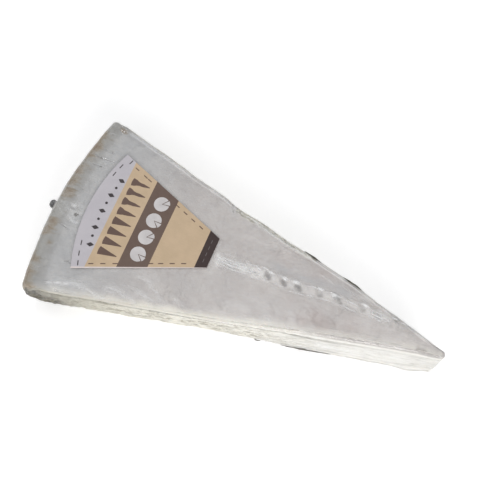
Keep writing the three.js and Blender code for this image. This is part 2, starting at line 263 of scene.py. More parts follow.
def build_form():
    """Vertices, faces and what each vertex is: t level, w share of rim, side of the cuts, top 1 on the flat top, foot 1 underneath."""
    levels = np.linspace(-1, 1, 2 * N_LEVEL + 1)
    rows = [outline(t) for t in levels]
    loops = np.stack([np.concatenate([n, tip[1:-1], f[::-1], h[::-1][1:-1]]) for n, f, h, tip, _ in rows])
    count = loops.shape[1]
    corner = smooth(np.linspace(0, 1, N_CORNER + 1))
    heel_w = np.concatenate([corner, np.ones(N_ACROSS - 2 * N_CORNER - 1), corner[::-1]])
    w = np.concatenate([np.zeros(N_LONG + 1), np.zeros(N_ACROSS - 1), np.zeros(N_LONG + 1), heel_w[::-1][1:-1]])
    side = np.concatenate(
        [-np.ones(N_LONG + 1), np.linspace(-1, 1, N_ACROSS + 1)[1:-1], np.ones(N_LONG + 1), np.linspace(1, -1, N_ACROSS + 1)[1:-1]]
    )
    n_levels = len(levels)
    index = np.arange(n_levels * count).reshape(n_levels, count)
    nxt = np.roll(index, -1, axis=1)
    quads = [np.stack([index[:-1], nxt[:-1], nxt[1:], index[1:]], -1).reshape(-1, 4)]

    def grid(loop):
        at = np.zeros((N_LONG + 1, N_ACROSS + 1), int)
        at[:, 0] = loop[: N_LONG + 1]
        p = N_LONG + 1
        at[N_LONG, 1:N_ACROSS] = loop[p : p + N_ACROSS - 1]
        p += N_ACROSS - 1
        at[:, N_ACROSS] = loop[p : p + N_LONG + 1][::-1]
        p += N_LONG + 1
        at[0, 1:N_ACROSS] = loop[p : p + N_ACROSS - 1][::-1]
        return at

    top = grid(index[-1])
    n, f, h, tip, share = rows[-1]
    u = (np.arange(1, N_LONG) / N_LONG)[:, None, None]
    v = share[1:N_ACROSS][None, :, None]
    near, far = n[1:N_LONG, None, :2], f[1:N_LONG, None, :2]
    plan = (
        lerp(near, far, v)
        + lerp(h[None, 1:N_ACROSS, :2], tip[None, 1:N_ACROSS, :2], u)
        - lerp(lerp(n[0, :2], f[0, :2], v), lerp(n[N_LONG, :2], f[N_LONG, :2], v), u)
    )
    z = THICKNESS + top_rise(plan[..., 0], plan[..., 1])
    start = n_levels * count
    top[1:N_LONG, 1:N_ACROSS] = start + np.arange((N_LONG - 1) * (N_ACROSS - 1)).reshape(N_LONG - 1, N_ACROSS - 1)
    quads.append(np.stack([top[:-1, :-1], top[1:, :-1], top[1:, 1:], top[:-1, 1:]], -1).reshape(-1, 4))
    foot = grid(index[0])
    quads.append(np.stack([foot[:-1, 0], foot[:-1, N_ACROSS], foot[1:, N_ACROSS], foot[1:, 0]], -1))
    fans = []
    for j in range(1, N_ACROSS):
        fans.append((foot[0, 0], foot[0, j], foot[0, j + 1]))
        fans.append((foot[N_LONG, 0], foot[N_LONG, j + 1], foot[N_LONG, j]))
    points = np.concatenate([loops.reshape(-1, 3), np.concatenate([plan, z[..., None]], -1).reshape(-1, 3)])
    inner = len(points) - start
    info = {
        "t": np.concatenate([np.repeat(levels, count), np.ones(inner)]),
        "w": np.concatenate([np.tile(w, n_levels), np.zeros(inner)]),
        "side": np.concatenate([np.tile(side, n_levels), np.zeros(inner)]),
        "top": np.concatenate([np.repeat((levels == 1).astype(float), count), np.ones(inner)]),
        "wall": np.concatenate([np.ones(start), np.zeros(inner)]),
        "foot": np.concatenate([np.repeat((levels == -1).astype(float), count), np.zeros(inner)]),
    }
    return points, np.concatenate(quads), np.array(fans), info


def normals_of(points, quads, tris):
    n = np.zeros_like(points)
    for f in (quads[:, [0, 1, 2]], quads[:, [0, 2, 3]], tris):
        a, b, c = (points[f[:, k]] for k in range(3))
        cr = np.cross(b - a, c - a)
        for k in range(3):
            np.add.at(n, f[:, k], cr)
    return n / np.maximum(np.linalg.norm(n, axis=1, keepdims=True), 1e-12)


points, quads, fans, info = build_form()
# the sides of the CAD box lie evenly about the origin, which gives the working frame's place across it too
SHIFT_Y = (wedge_hi.y + wedge_lo.y) / 2 / MM - (points[:, 1].max() + points[:, 1].min()) / 2
SHIFT = np.array([SHIFT_X, SHIFT_Y, 0.0])
X, Y, Z = points.T.copy()
points[:, 2] -= roll_off(X, Y, Z)
# the soft tip is drawn in at its foot, and the near cut sags outward a little before it
low = np.clip(1 - Z / 10.0, 0, 1)
points[:, 0] -= 1.2 * low**2 * smooth((X - 80) / 9)
nearward = info["wall"] * smooth((0.2 - info["side"]) / 1.2)
points[:, 1] -= nearward * low * (0.7 * bell(X, 62, 16) + 1.9 * smooth((X - 64) / 20))
ragged = (0.22 + 0.30 * smooth((-45 - X) / 20)) * noise(X / 3.1, 0.4, 0, 19) + 0.28 * smooth((-50 - X) / 15) * noise(X / 1.2, 0.4, 0, 20)
points[:, 1] += nearward * ragged * smooth((X + 84) / 5) * smooth((8 - Z) / 6)
normals = normals_of(points, quads, fans)
full = info["wall"] * info["w"] * 0.75 * bell(np.where(info["t"] >= 0, info["t"] * RIM_UP_LEN, 0), 9.5, 4.0)
points += normals * full[:, None]
R = np.hypot(X - CENTRE_X, Y)
ANGLE = np.arctan2(Y, CENTRE_X - X)
ARC = ANGLE * RIM_RADIUS  # along the rim
# distance over the rim from its widest level, positive up and on across the top
levels_len = np.where(info["t"] >= 0, info["t"] * RIM_UP_LEN, info["t"] * RIM_DOWN_LEN)
OVER = np.where(info["wall"] > 0, levels_len, RIM_UP_LEN + np.maximum(TOP_RADIUS - R, 0))
rim_r = np.array([rim_profile(t)[0] for t in np.linspace(-1, 1, 2 * N_LEVEL + 1)])
R_LEVEL = np.interp(info["t"], np.linspace(-1, 1, 2 * N_LEVEL + 1), rim_r)
DEPTH = np.where(
    info["wall"] > 0,
    np.maximum(0, np.minimum(np.minimum(THICKNESS - Z, Z), R_LEVEL - R)) * (1 - smooth(info["w"] * 1.4 - 0.4)),
    0.0,
)  # how far a point of a cut lies in from the rind's outer skin


def label_local(x, y):
    """Along and across the label's middle line from its apex."""
    dx, dy = -(x - LABEL_X), -(y - LABEL_Y)
    c, s = math.cos(LABEL_TURN), math.sin(LABEL_TURN)
    return dx * c + dy * s, -dx * s + dy * c


def label_inside(x, y, margin=0.0):
    """Positive inside the label's outline, mm from its nearest side."""
    u, v = label_local(x, y)
    r, a = np.hypot(u, v), np.abs(np.arctan2(v, u))
    edge = np.where(a < math.pi / 2, r * np.sin(LABEL_HALF - a), -r)
    return np.minimum(np.minimum(LABEL_R - r, u - LABEL_CUT), edge) + margin


print("form", len(points), "points", len(quads) * 2 + len(fans), "triangles", "shift", SHIFT)

# ---------------------------------------------------------------- drawn lines: folds, creases and marks, mm
def near_line(px, py, pts):
    """Distance from a bent line and the share of its length, for arrays of places."""
    pts = np.asarray(pts, float)
    seg = np.hypot(*np.diff(pts, axis=0).T)
    run = np.concatenate([[0], np.cumsum(seg)]) / seg.sum()
    best, part = np.full(np.shape(px), 1e9), np.zeros(np.shape(px))
    for i in range(len(pts) - 1):
        (ax, ay), (bx, by) = pts[i], pts[i + 1]
        vx, vy = bx - ax, by - ay
        t = np.clip(((px - ax) * vx + (py - ay) * vy) / (vx * vx + vy * vy), 0, 1)
        d = np.hypot(px - ax - t * vx, py - ay - t * vy)
        near = d < best
        best = np.where(near, d, best)
        part = np.where(near, lerp(run[i], run[i + 1], t), part)
    return best, part


def drawn(px, py, pts, width, wander=0.0, seed=1):
    """A soft-ended stroke along a bent line, 1 on the line."""
    if wander:
        px = px + wander * noise(px / 2.7, py / 2.7, 0, seed)
        py = py + wander * noise(px / 2.7, py / 2.7, 0, seed + 1)
    d, f = near_line(px, py, pts)
    thick = width * (0.85 + 0.45 * noise(px / 3.1, py / 3.1, 0, seed + 5))
    return np.exp(-((d / np.maximum(thick, 0.3 * width)) ** 2)) * smooth(f / 0.25 + 0.1) * smooth((1 - f) / 0.25 + 0.1)


ON_CUT = info["wall"] * (1 - info["w"])
ON_HEEL = np.maximum(info["w"], 1 - info["wall"])
near_cut = ON_CUT * (info["side"] <= 0)
far_cut = ON_CUT * (info["side"] > 0)
FLAT = 1 - info["wall"]
NEAR_IN = Y - cut_y(-1, TOP_NEAR, X, THICKNESS)
FAR_IN = cut_y(1, TOP_FAR, X, THICKNESS) - Y
TOPSIDE = np.maximum(FLAT, info["top"])

# where the far edge's rind was cut slantwise a strip of paste shows from above
strip_here = smooth((X + 19) / 4) * smooth((27 - X) / 5)
strip_depth = np.where(FLAT > 0, 1.9 - FAR_IN + 0.45 * noise(X / 2.2, Y / 2.2, 0, 12), 2.2)
DEPTH = np.where((strip_here > 0.5) & ((FLAT > 0) | ((far_cut > 0.5) & (Z > 18))), np.maximum(DEPTH, strip_depth), DEPTH)


# ---------------------------------------------------------------- relief of the cheese
def cut_relief():
    """Holes, tears and drawn streaks of the paste on both cuts: the relief in mm, and how deep in a hole a point lies."""
    rng = np.random.default_rng(11)
    relief = np.zeros(len(X))
    hole = np.zeros(len(X))
    for side_mask, seed in ((near_cut, 3), (far_cut, 8)):
        at = np.nonzero(side_mask > 0.5)[0]
        x, z = X[at], Z[at]
        wx = x + 1.0 * noise(x / 1.7, z / 1.1, 0, seed + 1)
        wz = z + 0.6 * noise(x / 2.1, z / 1.3, 0, seed + 2)
        r = 0.24 * fbm(x / 15, z / 6, 0, seed, 3) + 0.08 * fbm(x / 9, z / 0.9, 0, seed + 4, 2) + 0.16 * fbm(x / 2.6, z / 2.2, 0, seed + 5, 3) * (1 - 0.5 * smooth(x / 50))
        # crumbling along the foot
        r -= 0.30 * smooth((4.2 - z) / 3.2) * np.clip(noise(x / 2.4, z / 5, 0, seed + 6) + 0.35, 0, 1)
        drag = fbm(x / 7.6, z / 2.2, 0, seed + 7, 3)
        r -= 0.30 * ridge(drag - 0.05, 2.0) * smooth(noise(x / 8, z / 5, 0, seed + 9) * 1.6 + 0.4) * (1 - 0.6 * smooth((x - 10) / 50))
        h = np.zeros(len(at))
        for _ in range(230):
            cx, cz = rng.uniform(-84, 84), 11.2 + rng.normal() * 5.6
            keep = 2.2 < cz < 20.4
            fade = 1.0 - 0.62 * smooth((cx + 5) / 60)
            big = rng.uniform(0, 1) ** 2.2
            a, b = lerp(0.5, 2.3, big) * fade, lerp(0.32, 1.0, big) * rng.uniform(0.75, 1.1) * fade
            tilt = rng.normal() * 0.16
            deep = lerp(0.25, 0.80, big) * fade
            if not keep:
                continue
            dx, dz = (wx - cx), (wz - cz) - tilt * (wx - cx)
            q = (dx / a) ** 2 + (dz / b) ** 2
            bowl = np.exp(-(q**1.3))
            r -= deep * bowl
            h = np.maximum(h, bowl * min(1.0, deep * 1.5))
        relief[at] += r
        hole[at] = h
    return relief, hole


paste_relief, HOLE = cut_relief()
# how deep the darker crease under the rind's edge lies, a groove with painted shadow: close under it by the heel, lower
# where the soft rind is drawn down by the tip
LINE_PLACES = (
    (-84, 2.4), (-79, 1.7), (-74, 1.25), (-70, 1.0), (-63, 0.75), (-54, 0.65), (-47, 0.75), (-41, 0.95), (-28, 0.95), (-11, 1.2), (0, 1.45),
    (8, 1.8), (16, 2.4), (23, 3.3), (32, 4.4), (40, 5.3), (53, 5.4), (66, 4.6), (74, 5.0), (82, 5.3), (88, 5.0),
)
LINE_AT = np.where(info["side"] <= 0, np.interp(X, *zip(*LINE_PLACES)) - 0.3, 1.25)
rind_line = bell(DEPTH, LINE_AT + 0.3, 0.25 + 0.1 * LINE_AT) * ON_CUT * np.where(Z > MID, 1.0, 0.6)
rind_relief = (
    0.16 * fbm(X / 17, Y / 15, Z / 15, 21, 3)
    + 0.07 * fbm(X / 3.4, Y / 3.4, Z / 3.4, 22, 2)
    + 0.035 * fbm(X / 1.2, Y / 1.2, Z / 1.2, 23, 2)
)
rim_here = smooth((R - 166) / 12) * ON_HEEL
rim_relief = 0.28 * fbm(ARC / 8, OVER / 7, 0, 31, 3) - 0.20 * ridge(noise(ARC / 1.9, OVER / 13, 0, 32), 1.6) * smooth(
    noise(ARC / 12, OVER / 9, 0, 33) + 0.45
)
under_rind = smooth((DEPTH - 0.7) / 0.9)
cheese_d = (
    -0.36
    + (rind_relief + rim_relief * rim_here) * (1 - under_rind)
    + paste_relief * under_rind
    - 0.34 * (1 - 0.45 * smooth((-30 - X) / 15)) * rind_line * (0.55 + 0.45 * noise(X / 4, 0.3, 0, 34))
)
cheese_d = np.where(info["foot"] > 0, -0.22, cheese_d)

# the crumbled corner between the rim and the near cut; its darkening in the cheese's colour is painted shade
corner_r = np.hypot((X + 85) / 1.25, Y + 44)
CORNER_CRUMB_SHADE = smooth((9 + 4.5 * smooth((16 - Z) / 9) - corner_r) / 9) * smooth((19.5 + 1.8 * smooth((-80 - X) / 4) + 2.2 * noise(X / 2.4, Y / 2.4, 0, 37) - Z) / 4.0) * info["wall"] * (info["side"] < 0)
CORNER_CRUMB_SHADE = CORNER_CRUMB_SHADE * (1 - smooth((info["w"] - 0.5) / 0.4))
cheese_d = cheese_d + CORNER_CRUMB_SHADE * (0.34 * fbm(X / 1.6, Y / 1.6, Z / 1.3, 36, 3) - 0.14)

# reddish blooms and a worn network of veins on the top, between the seam and the near edge
VEINS = (
    ((28.8, -5.1), (32.8, -7.2), (37.1, -11.0)),
    ((29.9, -2.2), (34.1, -3.7), (33.2, -8.0), (38.3, -9.5)),
    ((24.0, -6.0), (27.5, -8.5), (29.0, -12.5)),
    ((38.0, -3.0), (42.0, -5.5), (44.0, -8.5)),
    ((12.0, -7.5), (16.5, -9.5), (18.0, -13.0)),
)
BLOOMS = ((34.0, -5.5, 3.4, 1.0), (38.5, -9.0, 3.0, 0.9), (28.5, -10.0, 3.6, 0.7), (22.0, -4.5, 3.0, 0.5), (48.0, -4.0, 4.5, 0.6), (12.0, 16.0, 6.0, 0.5), (30.0, 12.0, 6.0, 0.5))
vein = 0.0
for i, v in enumerate(VEINS):
    vein = np.maximum(vein, drawn(X, Y, v, 0.62, 0.9, 140 + i))
net = ridge(noise(X / 3.1, Y / 2.7, 0, 150), 2.0) * smooth(1.4 - np.hypot((X - 33) / 17, (Y + 7) / 8.5))
VEIN = np.clip(np.maximum(vein, 0.75 * net), 0, 1) * TOPSIDE
BLOOM = np.clip(sum(w * np.exp(-(((X - a) ** 2 + (Y - b) ** 2) / r**2)) for a, b, r, w in BLOOMS), 0, 1) * TOPSIDE

# painted shadow: a soft bluish-grey band on the far side of the seam
SEAM_SHADOW = bell(Y - SEAM_Y0 - SEAM_SLOPE * X, 5.4, 2.6) * smooth((X - 2) / 10) * smooth((52 - X) / 14) * TOPSIDE * (0.7 + 0.5 * noise(X / 6, Y / 2.5, 0, 17))
# painted highlight along the soft upper near edge and the top of the near cut, cream-tinted; its strength listed along
# the length
CREAM_HIGHLIGHT_PLACES = ((-84, 0.25), (-75, 0.40), (-66, 0.45), (-55, 0.65), (-41, 0.8), (-28, 0.95), (-11, 1.0), (8, 1.0), (16, 0.85), (24, 0.6), (32, 0.5), (53, 0.5), (74, 0.6), (88, 0.5))
CREAM_HIGHLIGHT = smooth((3.7 + 0.5 * noise(X / 5, 0.2, 0, 18) - NEAR_IN) / 3.8) * np.maximum(FLAT, smooth((LINE_AT + 0.25 - (THICKNESS - Z)) / 0.5) * near_cut * (1 - smooth((X - 28) / 24))) * np.interp(X, *zip(*CREAM_HIGHLIGHT_PLACES))

# ---------------------------------------------------------------- folds of the film
# on the top, each a bent line with its width, height and whiteness, the whiteness a painted highlight along the fold
TOP_FOLDS = (
    (((-75.5, -40.7), (-71.6, -37.1), (-67.3, -34.2), (-63.0, -33.2), (-58.4, -34.6), (-54.5, -35.8)), 1.7, 0.12, 0.31),
    (((-69.0, -38.0), (-64.2, -34.9), (-59.6, -36.3), (-56.4, -37.0)), 1.3, 0.10, 0.27),
    (((-52.0, -28.4), (-46.5, -27.9), (-40.2, -30.9)), 1.9, 0.10, 0.27),
    (((-48.0, -31.2), (-43.0, -31.5), (-37.0, -32.2)), 1.4, 0.08, 0.21),
    (((-42.7, -18.3), (-36.4, -19.5), (-30.9, -22.9), (-25.5, -28.2)), 2.2, 0.10, 0.13),
    (((-25.4, -22.4), (-20.2, -23.5), (-15.4, -25.7)), 2, 0.09, 0.11),
    (((-36.0, -27.0), (-30.0, -28.0), (-22.0, -29.5)), 1.6, 0.08, 0.11),
    (((-12.0, -20.0), (-4.0, -21.5), (6.0, -20.5)), 2.2, 0.08, 0.15),
    (((-17.5, 25.6), (-8.0, 23.9), (0.4, 21.8), (8.0, 20.0), (17.0, 18.0)), 0.9, 0.11, 0.31),
    (((-60.5, 36.4), (-55.5, 36.0), (-50.0, 34.6)), 1.5, 0.11, 0.27),
    (((-32.0, 30.6), (-26.5, 29.4), (-20.5, 26.6)), 1.4, 0.13, 0.31),
    (((-27.0, 27.0), (-22.0, 25.4), (-18.0, 23.2)), 1.3, 0.09, 0.21),
    (((36.0, 12.3), (45.0, 10.8), (56.0, 8.8)), 1.1, 0.08, 0.17),
    (((51.0, -8.6), (63.1, -5.5), (75.5, -2.6), (85.0, -0.8)), 0.75, 0.09, 0.27),
    (((40.0, -9.6), (52.0, -7.0), (64.0, -4.0), (74.0, -1.8)), 0.65, 0.07, 0.21),
    (((24.0, -13.6), (38.0, -10.9), (52.0, -8.2)), 0.75, 0.07, 0.21),
    (((58.0, -3.6), (70.0, -1.0), (80.0, 0.8)), 0.7, 0.06, 0.17),
    (((-72.0, 33.0), (-66.0, 37.0), (-62.0, 38.5)), 1.5, 0.08, 0.15),
    (((-79.0, -22.0), (-74.0, -24.5), (-70.0, -30.0)), 1.5, 0.07, 0.06),
)
# broad soft areas of paler, slacker film: place, size, whiteness
HAZES = (
    (16.0, -13.5, 26.0, 5.0, 0.44), (62.0, -3.0, 18.0, 4.0, 0.20), (66.0, 8.0, 14.0, 3.5, 0.22), (-58.0, -33.5, 16.0, 3.0, 0.24),
    (30.0, -6.0, 16.0, 6.0, 0.16), (-30.0, -26.0, 14.0, 4.0, 0.06), (48.0, 8.5, 12.0, 3.0, 0.16),
)
# sunk lines of the top, with painted shade that makes them read as thin shadows
TOP_GROOVES = (
    (((-11.2, -3.4), (-9.4, -5.0), (-7.2, -7.2), (-4.4, -11.0)), 1.5, 0.24),
    (((-8.2, 13.1), (-4.7, 9.6), (-2.6, 7.0)), 1.3, 0.20),
    (((2.0, 6.9), (14.0, 7.6), (26.0, 8.3), (40.0, 8.0)), 1.5, 0.12),
    (((-30.0, -12.0), (-24.0, -14.0), (-19.0, -18.0)), 1.4, 0.12),
    (((4.0, -8.0), (9.0, -9.5), (12.0, -13.0)), 1.2, 0.12),
    (((46.0, -2.5), (52.0, -3.5), (56.0, -5.5)), 1.0, 0.12),
)
# round the heel, in mm along the rim and over it; the grooves carry painted shade and the folds' whiteness is a painted
# highlight
RIM_GROOVES = (
    (((-5.2, 20.4), (-5.9, 22.4)), 0.95, 0.8),
    (((43.3, 12.0), (42.6, 22.5)), 0.5, 0.5),
    (((6.8, 14.0), (6.0, 19.0)), 0.5, 0.35),
    (((-30.0, 14.0), (-31.5, 19.5)), 0.5, 0.35),
)
RIM_FOLDS = (
    (((-2.2, 9.0), (-1.8, 15.0), (-2.4, 20.0)), 0.9, 0.20, 0.40),
    (((-4.4, 9.0), (-6.6, 15.0), (-9.4, 20.0)), 0.8, 0.20, 0.40),
    (((0.4, 9.0), (3.2, 15.0), (4.0, 21.0)), 0.8, 0.16, 0.35),
    (((-8.2, 7.4), (-13.5, 10.5), (-19.0, 12.0)), 0.7, 0.16, 0.35),
    (((2.4, 7.0), (8.0, 9.0), (14.0, 9.6)), 0.7, 0.16, 0.35),
    (((-2.6, 1.0), (-3.6, -5.0), (-3.0, -11.0)), 0.8, 0.28, 0.5),
    (((-5.6, 2.6), (-10.5, -2.0), (-16.0, -6.0)), 0.7, 0.24, 0.4),
    (((0.6, 2.2), (6.0, -3.0), (10.0, -8.0)), 0.7, 0.24, 0.4),
)
# ---------------------------------------------------------------- fine creases of the film
# each a narrow open sheet: space, path, half width, dark, white, lift
# dark is painted shade beside each crease, and white a painted highlight along it
CREASES = (
    ("rim", ((25.7, 12.2), (25.6, 18.9), (26.7, 24.6)), 0.50, 0.85, 0.25, 0.10),
    ("rim", ((20.4, 14.4), (21.0, 18.0), (21.5, 23.2)), 0.50, 0.75, 0.25, 0.10),
    ("rim", ((30.0, 14.0), (29.9, 18.2)), 0.45, 0.50, 0.1, 0.06),
    ("rim", ((29.8, 20.0), (30.7, 21.2)), 0.55, 0.75, 0.0, 0.04),
    ("rim", ((-12.6, 16.2), (-13.2, 18.6), (-14.6, 22.4)), 0.50, 0.85, 0.25, 0.10),
    ("rim", ((-4.6, 20.2), (-5.6, 21.4), (-6.6, 22.0)), 0.85, 0.70, 0.2, 0.10),
    ("rim", ((-1.9, 16.9), (-1.5, 18.8), (-1.9, 20.4)), 0.75, 0.0, 0.95, 0.14),
    ("rim", ((-8.4, 17.0), (-9.8, 21.0), (-10.0, 25.0)), 0.9, 0.0, 0.45, 0.12),
    ("rim", ((42.4, 15.0), (42.9, 17.8), (43.2, 20.4)), 0.75, 0.45, 0.0, 0.05),
    ("rim", ((38.6, 12.0), (38.9, 16.6)), 0.5, 0.35, 0.2, 0.06),
    ("rim", ((-34.5, 12.0), (-35.6, 16.4)), 0.5, 0.35, 0.2, 0.06),
    ("top", ((-75.6, -26.4), (-74.4, -27.2), (-73.2, -26.9), (-72.2, -27.8)), 0.55, 0.95, 0.1, 0.06),
    # lower left, where the sheet is drawn over the near edge
    ("top", ((-80.0, -39.0), (-75.5, -37.4), (-71.5, -35.8), (-66.5, -34.6), (-60.5, -33.8)), 1.3, 0.0, 0.55, 0.10),
    ("top", ((-76.5, -35.6), (-70.0, -33.2), (-64.0, -32.2), (-57.0, -32.6)), 0.45, 0.45, 0.0, 0.04),
    ("top", ((-66.0, -35.6), (-61.0, -34.6), (-56.0, -34.6), (-50.0, -34.4)), 1.0, 0.0, 0.50, 0.08),
    ("top", ((-56.0, -31.6), (-48.0, -29.6), (-42.0, -30.6), (-37.0, -31.0)), 0.9, 0.0, 0.45, 0.07),
    ("top", ((-45.0, -20.4), (-38.0, -20.8), (-32.4, -23.6), (-27.0, -27.6)), 1.2, 0.0, 0.30, 0.07),
    ("top", ((-42.0, -26.4), (-35.5, -27.0), (-29.5, -28.6)), 1.0, 0.0, 0.27, 0.07),
    ("top", ((-26.6, -21.8), (-20.4, -24.2), (-14.6, -26.0)), 1.1, 0.0, 0.25, 0.06),
    # lengthwise streaks beside the near edge, clear of it
    ("top", ((46.0, -8.6), (56.0, -6.2), (66.0, -4.0), (76.0, -1.8)), 0.35, 0.42, 0.0, 0.03),
    ("top", ((34.0, -9.6), (44.0, -7.4), (54.0, -5.0), (64.0, -2.8)), 0.30, 0.30, 0.0, 0.03),
    # by the far edge
    ("top", ((-17.5, 25.4), (-8.0, 23.7), (0.4, 21.6), (8.0, 19.8), (17.0, 17.8)), 0.7, 0.10, 0.50, 0.08),
    ("top", ((-20.2, 27.6), (-18.8, 25.2), (-17.6, 22.6)), 0.5, 0.70, 0.2, 0.05),
    ("top", ((-31.0, 30.0), (-26.0, 28.6), (-20.5, 26.2)), 0.7, 0.10, 0.55, 0.08),
    ("top", ((-60.5, 36.4), (-55.5, 35.8), (-50.0, 34.6)), 0.8, 0.0, 0.50, 0.07),
    ("top", ((26.0, 12.6), (31.0, 11.8), (36.0, 10.6)), 0.5, 0.0, 0.25, 0.05),
    ("top", ((36.0, 12.0), (46.0, 9.8), (56.0, 7.8)), 0.4, 0.22, 0.10, 0.04),
    # the seam's fan by the label
    ("top", ((-17.2, 1.2), (-12.2, 0.2), (-7.5, 0.2), (-2.4, 0.6)), 0.50, 0.0, 0.80, 0.26),
    ("top", ((-14.5, 2.2), (-7.1, 2.5), (-2.0, 3.0)), 0.50, 0.0, 0.75, 0.26),
    ("top", ((-16.6, 0.4), (-11.5, -1.2), (-5.5, -1.0), (0.5, -0.2)), 0.45, 0.0, 0.60, 0.24),
    ("top", ((-12.5, 1.2), (-8.5, 1.4), (-4.0, 1.6), (1.2, 2.2)), 0.40, 0.0, 0.60, 0.25),
    ("top", ((-3.6, 4.2), (0.2, 4.2), (3.2, 4.9)), 0.50, 0.0, 0.75, 0.26),
    ("top", ((-2.4, 1.0), (1.6, 1.0), (5.0, 1.8)), 0.42, 0.0, 0.55, 0.24),
    ("top", ((-5.0, 3.4), (-1.5, 2.6), (1.0, 0.6)), 0.40, 0.06, 0.55, 0.25),
    ("top", ((3.4, 4.9), (6.4, 4.9), (9.4, 3.9)), 0.50, 0.0, 0.85, 0.27),
    # along the puckers
    ("top", ((13.2, 4.5), (14.6, 4.8), (16.6, 4.5)), 0.62, 0.0, 1.0, 0.29),
    ("top", ((18.8, 4.8), (20.4, 5.1), (22.6, 4.8)), 0.58, 0.0, 0.95, 0.28),
    ("top", ((18.3, -0.2), (22.8, 0.4), (27.0, 0.8)), 0.36, 0.0, 0.70, 0.25),
    ("top", ((26.2, 1.5), (28.0, 1.6), (30.2, 1.3)), 0.42, 0.0, 0.80, 0.26),
    ("top", ((26.8, 5.9), (30.1, 6.2), (33.4, 6.4)), 0.42, 0.0, 0.60, 0.25),
    ("top", ((33.0, 6.0), (36.0, 6.4), (39.1, 6.7)), 0.42, 0.0, 0.65, 0.25),
    ("top", ((37.3, 5.8), (39.3, 5.9), (41.4, 5.6)), 0.66, 0.0, 1.0, 0.30),
    ("top", ((41.4, 6.0), (45.8, 5.9), (49.8, 5.6)), 0.40, 0.0, 0.75, 0.26),
    ("top", ((42.0, 3.2), (46.0, 2.9), (49.4, 2.6)), 0.42, 0.0, 0.50, 0.24),
    ("top", ((53.4, 6.4), (56.6, 6.3), (60.2, 5.9)), 0.50, 0.0, 0.90, 0.28),
    ("top", ((53.8, 5.2), (57.4, 4.7), (61.0, 5.1)), 0.55, 0.0, 0.90, 0.28),
    ("top", ((55.0, 3.7), (57.6, 3.5), (60.4, 3.1)), 0.46, 0.0, 0.80, 0.26),
    ("top", ((63.0, 7.2), (65.2, 7.1), (67.4, 6.8)), 0.55, 0.0, 1.0, 0.28),
    ("top", ((66.0, 6.4), (69.1, 6.3), (71.4, 5.7)), 0.50, 0.0, 0.85, 0.26),
    ("top", ((64.4, 6.2), (66.0, 5.9), (67.6, 5.6)), 0.45, 0.75, 0.0, 0.21),
)


def crease_line(i):
    """The smooth, slightly swaying middle line of one crease: its places, and the run along it."""
    _, pts, half, *_ = CREASES[i]
    pts = np.asarray(pts, float)
    run = np.concatenate([[0], np.cumsum(np.hypot(*np.diff(pts, axis=0).T))])
    f = np.linspace(0, 1, int(np.clip(run[-1] / 0.22, 24, 150)))
    # a smooth path through the points
    cx = np.polynomial.Polynomial.fit(run / run[-1], pts[:, 0], min(len(pts) - 1, 3))(f)
    cy = np.polynomial.Polynomial.fit(run / run[-1], pts[:, 1], min(len(pts) - 1, 3))(f)
    dx, dy = np.gradient(cx), np.gradient(cy)
    d = np.maximum(np.hypot(dx, dy), 1e-9)
    nx, ny = -dy / d, dx / d
    step = run[-1] * f
    sway = 0.35 * half * noise(step / (2.2 + half), 0.3, 0, 400 + 3 * i) + 0.2 * noise(step / 3.5, 0.7, 0, 401 + 3 * i)
    return cx + nx * sway, cy + ny * sway, nx, ny, step, f


label_edge = label_inside(X, Y, 1.0)
free = np.where((info["wall"] == 0) | (info["top"] > 0), 1 - smooth(label_edge / 1.6), 1.0)
seam_y = SEAM_Y0 + SEAM_SLOPE * X
along_seam = smooth((X + 19) / 5) * FLAT
off_seam = Y - seam_y
knot_over, knot_arc = 4.6, KNOT_ANGLE * RIM_RADIUS
ka, ko = ARC - knot_arc, OVER - knot_over
k_dist, k_dir = np.hypot(ka, ko), np.arctan2(ko, ka)
rim_zone = smooth((R - 156) / 14) * ON_HEEL


